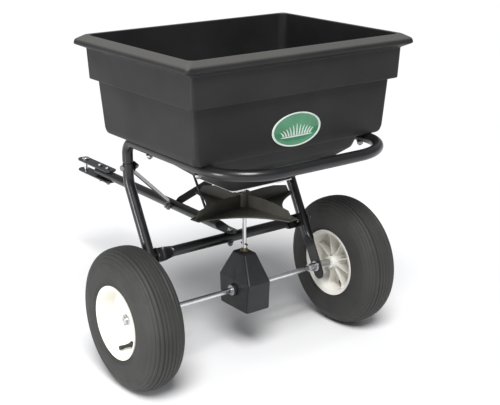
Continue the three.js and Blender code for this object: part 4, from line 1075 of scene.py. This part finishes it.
def split_pin(x):
    """A split pin through the axle's end: an eye on top and two legs, spread at their tips."""
    wire = 0.8
    eye = 3.0
    # Half of the pin, from a leg's tip to the top of the eye: (outwards, height, bend).
    half = [(2.6, -13, 0), (wire, -9, 4), (wire, 8.5, 2), (eye, 11.0, 2), (eye * 0.6, 13.6, 1.4)]
    corners = [((x - out, 0, AXLE_Z + up), bend) for out, up, bend in half]
    corners += [((x + out, 0, AXLE_Z + up), bend) for out, up, bend in reversed(half)]
    return tube(corners, wire, steps=4, sides=12)


def axle_span(node):
    """Where a part on the axle begins and ends along it, and its radius."""
    low, high = box_mm(node)
    return min(abs(low.x), abs(high.x)), max(abs(low.x), abs(high.x)), high.z - AXLE_Z


def add_axle():
    half = box_mm("axle")[1].x
    origin = Vector((0, 0, AXLE_Z))
    piece("axle_bar", solid_bar(origin, X_AXIS, -half, half, 6.35, 1.0, 48), ZINC_BAR, "axle", ["axle"],
          "zinc")
    for name, side in SIDES:
        axis = X_AXIS * side
        for node in (f"{name}_axle_collar", f"{name}_wheel_spacer", f"{name}_wheel_washer"):
            near, far, radius = axle_span(node)
            piece(f"{node}_turned", sleeve(origin, axis, near, far, radius, BORE), ZINC, "axle", [node],
                  "zinc")
        near, far, radius = axle_span(f"{name}_axle_collar")
        seat = origin + axis * (near + far) / 2 - Y_AXIS * radius
        piece(f"{name}_collar_screw", solid_bar(seat, -Y_AXIS, -2, 1.2, 2.6, 0.4, 24), STEEL, "axle",
              slot="dark_steel")
        near, far, radius = axle_span(f"{name}_axle_bush")
        step = near + 3.7
        neck = 9.2
        profile = [(near + 0.5, radius), (step - 0.3, radius), (step, radius - 0.3), (step, neck),
                   (far, neck), (far, BORE), (near, BORE), (near, radius - 0.5)]
        piece(f"{name}_axle_bush_turned", turned(origin, axis, profile), ZINC, "frame",
              [f"{name}_axle_bush"], "zinc")
        pin_x = middle(f"{name}_axle_cotter").x
        piece(f"{name}_split_pin", split_pin(pin_x), STEEL, "axle", [f"{name}_axle_cotter"], "dark_steel")
    low, high = box_mm("wheel_drive_pin")
    half = (high.z - low.z) / 2
    drive_pin = solid_bar(middle("wheel_drive_pin"), Z_AXIS, -half, half, 3.0, 0.6, 24)
    piece("wheel_drive_pin_turned", drive_pin, STEEL, "axle", ["wheel_drive_pin"], "dark_steel")


# ---------------------------------------------------------------- gearbox

def gearbox_rings(inset, soft):
    """Sections of the housing, or of the hollow inside it when they are inset."""
    bottom = 118 + inset
    shoulder = 190
    top = 255 - inset
    rows = [
        (bottom, 24 - inset, 42 - inset, 5, 0),
        (bottom, 34 - inset, 54 - inset, 5 - inset, soft),
        (shoulder, 32 - inset, 61 - inset, 5 - inset, 1.6),
        (top, 17.5 - inset, 24 - inset, 5 - inset, soft),
        (top, 9 - inset, 12 - inset, 3 - inset / 2, 0),
    ]
    return [rounded_rect(*row, steps=5) for row in smooth_rows(rows, 4)]


def add_gearbox():
    axle = Vector((0, 0, AXLE_Z))
    whole = loft(gearbox_rings(0, 4.5))
    hollow = loft(gearbox_rings(2.5, 3))
    axle_boss = solid_bar(axle, X_AXIS, -38, 38, 15, 1.2, 48)
    axle_hole = solid_bar(axle, X_AXIS, -60, 60, 9.8, 0.1, 48)
    shaft_hole = solid_bar(ORIGIN, Z_AXIS, 235, 280, 8.3, 0.1, 48)
    half_seam = 0.12
    for name, side in (("rear", -1), ("front", 1)):
        low, high = sorted((side * half_seam, side * 90))
        slab = loft([[Vector((x, y, z)) for x, y in ((-80, low), (80, low), (80, high), (-80, high))]
                     for z in (80, 300)])
        cover = combined(f"gearbox_cover_{name}_moulded", whole, [
            ("UNION", axle_boss), ("DIFFERENCE", hollow), ("DIFFERENCE", axle_hole),
            ("DIFFERENCE", shaft_hole), ("INTERSECT", slab)])
        finished(cover, COVER_PLASTIC, "frame", [f"gearbox_cover_{name}"], "cover_plastic", sharp=32,
                 weighted=True)
    side_profile = [(28, 9.4), (38.3, 9.4), (38.3, 12.4), (38.9, 13), (40.4, 13), (41, 12.4), (41, BORE),
                    (28, BORE)]
    for name, side in SIDES:
        piece(f"gearbox_{name}_bush_turned", turned(axle, X_AXIS * side, side_profile), STEEL, "frame",
              [f"gearbox_{name}_bush"], "zinc")
    top_profile = [(249.5, 8), (255.3, 8), (255.3, 9), (256, 9.5), (258, 9.5), (263.4, 7.4), (264, 6.9),
                   (264, SHAFT_BORE), (249.5, SHAFT_BORE)]
    piece("gearbox_shaft_bush_turned", turned(ORIGIN, Z_AXIS, top_profile), BRONZE, "frame",
          ["gearbox_shaft_bush"], "bronze")
    screw_profile = [(-3, 4.2), (1.2, 4.2), (2.2, 3.6), (2.6, 2.2), (1.6, 1.6)]
    screws = [(x, y, z) for y, z in ((54.9, 130), (59.3, 196)) for x in (-22, 22)]
    for i, seat in enumerate(screws):
        piece(f"gearbox_screw_{i + 1}", solid_turned(Vector(seat), Y_AXIS, screw_profile, 24), ZINC,
              "frame", slot="fastener_zinc")


def add_shaft():
    low, high = box_mm("impeller_shaft")
    piece("impeller_shaft_bar", solid_bar(ORIGIN, Z_AXIS, low.z, high.z, 5.0), ZINC, "impeller",
          ["impeller_shaft"], "zinc")
    pin = solid_bar(middle("shaft_cross_pin"), Y_AXIS, -12, 12, 2.5, 0.5, 24)
    piece("shaft_cross_pin_turned", pin, BRONZE, "impeller", ["shaft_cross_pin"], "dark_steel")


# ---------------------------------------------------------------- impeller and agitator

def impeller_outline(scale):
    """The plate's edge: four broad tips and hollowed sides between them."""
    tip_radius = 157.5
    tip_half_wide = 13
    waist = 90
    steps = 14
    tip_angle = math.asin(tip_half_wide / tip_radius)
    middle_reach = tip_radius * math.cos(math.pi / 4 - tip_angle)
    points = []
    for arm in range(4):
        turn = arm * math.pi / 2

        def polar(radius, angle):
            return Vector((math.cos(turn + angle), math.sin(turn + angle), 0)) * radius * scale

        start = polar(tip_radius, tip_angle)
        hollow = polar(2 * waist - middle_reach, math.pi / 4)
        end = polar(tip_radius, math.pi / 2 - tip_angle)
        for step in range(steps + 1):
            t = step / steps
            points.append(start * (1 - t) ** 2 + hollow * 2 * t * (1 - t) + end * t * t)
    return points


def fin_section(radius, half, plate_z, crest, tapered):
    """A section across one of the impeller's fins, wide at the plate and narrow at its crest."""
    rows = [(half + 1.4, plate_z + 1), (half + 1.2, plate_z + 3.2), (half, plate_z + 5),
            (half * 0.8, crest - 0.8), (half * 0.5, crest)]
    if tapered:
        rows = [(w, min(z, crest + i * 0.05)) for i, (w, z) in enumerate(rows)]
    right = [Vector((radius, w, z)) for w, z in rows]
    left = [Vector((radius, -w, z)) for w, z in reversed(rows)]
    return right + left


def add_impeller():
    low, high = box_mm("impeller")
    plate_z = 368
    top = 400
    plate_rows = ((plate_z, 0.996), (plate_z + 0.4, 1.0), (plate_z + 2.4, 1.0), (plate_z + 3, 0.996))
    plate = loft([[point + Z_AXIS * z for point in impeller_outline(scale)] for z, scale in plate_rows])
    hub_profile = [(low.z, 12.5), (low.z + 1.5, 14), (plate_z - 2, 15), (plate_z, 17), (plate_z + 3, 19),
                   (plate_z + 7, 16), (top, 15), (high.z - 1.5, 14.6), (high.z, 13.2)]
    # A fin's sections: radius, how far its crest has dropped, and half its thickness.
    fin_rows = [(6, 0.0, 2.4), (20, 0.0, 2.2), (60, 0.0, 2.0), (100, 2.5, 2.0), (142.5, 11.0, 1.9),
                (153, 29.0, 1.8)]
    fin = loft([fin_section(radius, half, plate_z, top - drop, drop > 0)
                for radius, drop, half in fin_rows])
    steps = [("UNION", solid_turned(ORIGIN, Z_AXIS, hub_profile))]
    steps += [("UNION", moved(fin, Matrix.Rotation(arm * math.pi / 2, 4, "Z"))) for arm in range(4)]
    bore = solid_bar(ORIGIN, Z_AXIS, low.z - 5, high.z + 5, SHAFT_BORE, 0.1)
    steps.append(("DIFFERENCE", bore))
    turn = Matrix.Rotation(math.radians(8.2), 4, "Z")
    steps = [(operation, moved(shape, turn)) for operation, shape in steps]
    made = combined("impeller_moulded", moved(plate, turn), steps)
    finished(made, IMPELLER_PLASTIC, "impeller", ["impeller"], "impeller_plastic", weighted=True)


def add_agitator():
    hub_z = 484
    half_hub = 12
    hub = sleeve(ORIGIN, Z_AXIS, hub_z - half_hub, hub_z + half_hub, 12, SHAFT_BORE, 0.8)
    tines = []
    for _, side in SIDES:
        corners = [((side * 10, 0, hub_z), 0), ((side * 52, 0, 478), 12), ((side * 66, 0, 511), 0)]
        tines.append(tube(corners, 3.5, sides=24))
    set_screw = solid_bar(Vector((0, -12, hub_z)), -Y_AXIS, -2, 3, 2.8, 0.5, 6)
    piece("agitator_bent", together(hub, *tines, set_screw), STEEL, "impeller", ["agitator"], "dark_steel")


def dress_kept_nodes():
    """CAD nodes whose shape is right keep it, and get a finish."""
    finishes = {
        "outlet_plate": ZINC, "slide_gate": ZINC, "gate_guide_left": ZINC, "gate_guide_right": ZINC,
        "shaft_guide_bush": BRONZE, "flow_lever": ZINC, "flow_bracket": BLACK_PAINT, "axle_gear": STEEL,
        "shaft_pinion": STEEL,
    }
    for node, material in finishes.items():
        kept = frame["nodes"][node]
        kept.data.materials.clear()
        kept.data.materials.append(material)


# ---------------------------------------------------------------- camera, light and floor

def add_camera():
    azimuth = math.radians(36.48)
    elevation = math.radians(17.87)
    roll = math.radians(0.27)
    distance = 2501.5 * MM
    target = world((0, -23.2, 382.75))
    forward = Vector((math.sin(azimuth) * math.cos(elevation), math.cos(azimuth) * math.cos(elevation),
                      -math.sin(elevation)))
    data = bpy.data.cameras.new("camera")
    data.sensor_width = 36
    data.lens = 77.32
    camera = bpy.data.objects.new("camera", data)
    bpy.context.scene.collection.objects.link(camera)
    camera.rotation_mode = "QUATERNION"
    camera.rotation_quaternion = Quaternion(forward, roll) @ forward.to_track_quat("-Z", "Y")
    camera.location = target - forward * distance
    bpy.context.scene.camera = camera


def aimed_light(name, kind, place, target, power):
    data = bpy.data.lights.new(name, kind)
    data.energy = power
    light = bpy.data.objects.new(name, data)
    light.location = place
    light.rotation_mode = "QUATERNION"
    light.rotation_quaternion = (Vector(target) - Vector(place)).to_track_quat("-Z", "Y")
    bpy.context.scene.collection.objects.link(light)
    return data


def add_studio():
    setting = bpy.data.worlds.new("studio")
    bpy.context.scene.world = setting
    setting.use_nodes = True
    background = setting.node_tree.nodes["Background"]
    background.inputs["Color"].default_value = (0.97, 0.98, 1.0, 1)
    background.inputs["Strength"].default_value = 0.3
    bpy.context.scene.view_settings.view_transform = "Standard"
    overhead = aimed_light("overhead", "SUN", (-1.35, -1.95, 3.15), (0, 0, 0), 4.1)
    overhead.angle = math.radians(27)
    left = aimed_light("left_panel", "AREA", (-3.3, -0.4, 0.62), (0, 0, 0.45), 50)
    left.shape = "DISK"
    left.size = 1.1
    half = 14.0
    corners = [(-half, -half, 0), (half, -half, 0), (half, half, 0), (-half, half, 0)]
    mesh = bpy.data.meshes.new("floor")
    mesh.from_pydata(corners, [], [(0, 1, 2, 3)])
    floor = bpy.data.objects.new("floor", mesh)
    bpy.context.scene.collection.objects.link(floor)
    shader = Shader("floor_paper", (0.79, 0.79, 0.795), Roughness=0.85)
    shader.patches((0.775, 0.775, 0.785), 0.4, 0.7, 0.5, 0.6, 2)
    mesh.materials.append(shader.material)


add_camera()
add_studio()
TYRE_RUBBER = {name: tyre_rubber(name) for name, _ in SIDES}
add_hopper()
add_badge()
add_hopper_bolts()
add_outlet_rivets()
add_hopper_frame()
add_legs()
add_cross_tube()
add_tongue()
add_braces()
add_hitch()
add_hitch_pin()
add_frame_bolts()
add_flow_control()
add_wheel("left", -1, "left_wheel")
add_wheel("right", 1, "axle")
add_axle()
add_gearbox()
add_shaft()
add_impeller()
add_agitator()
dress_kept_nodes()
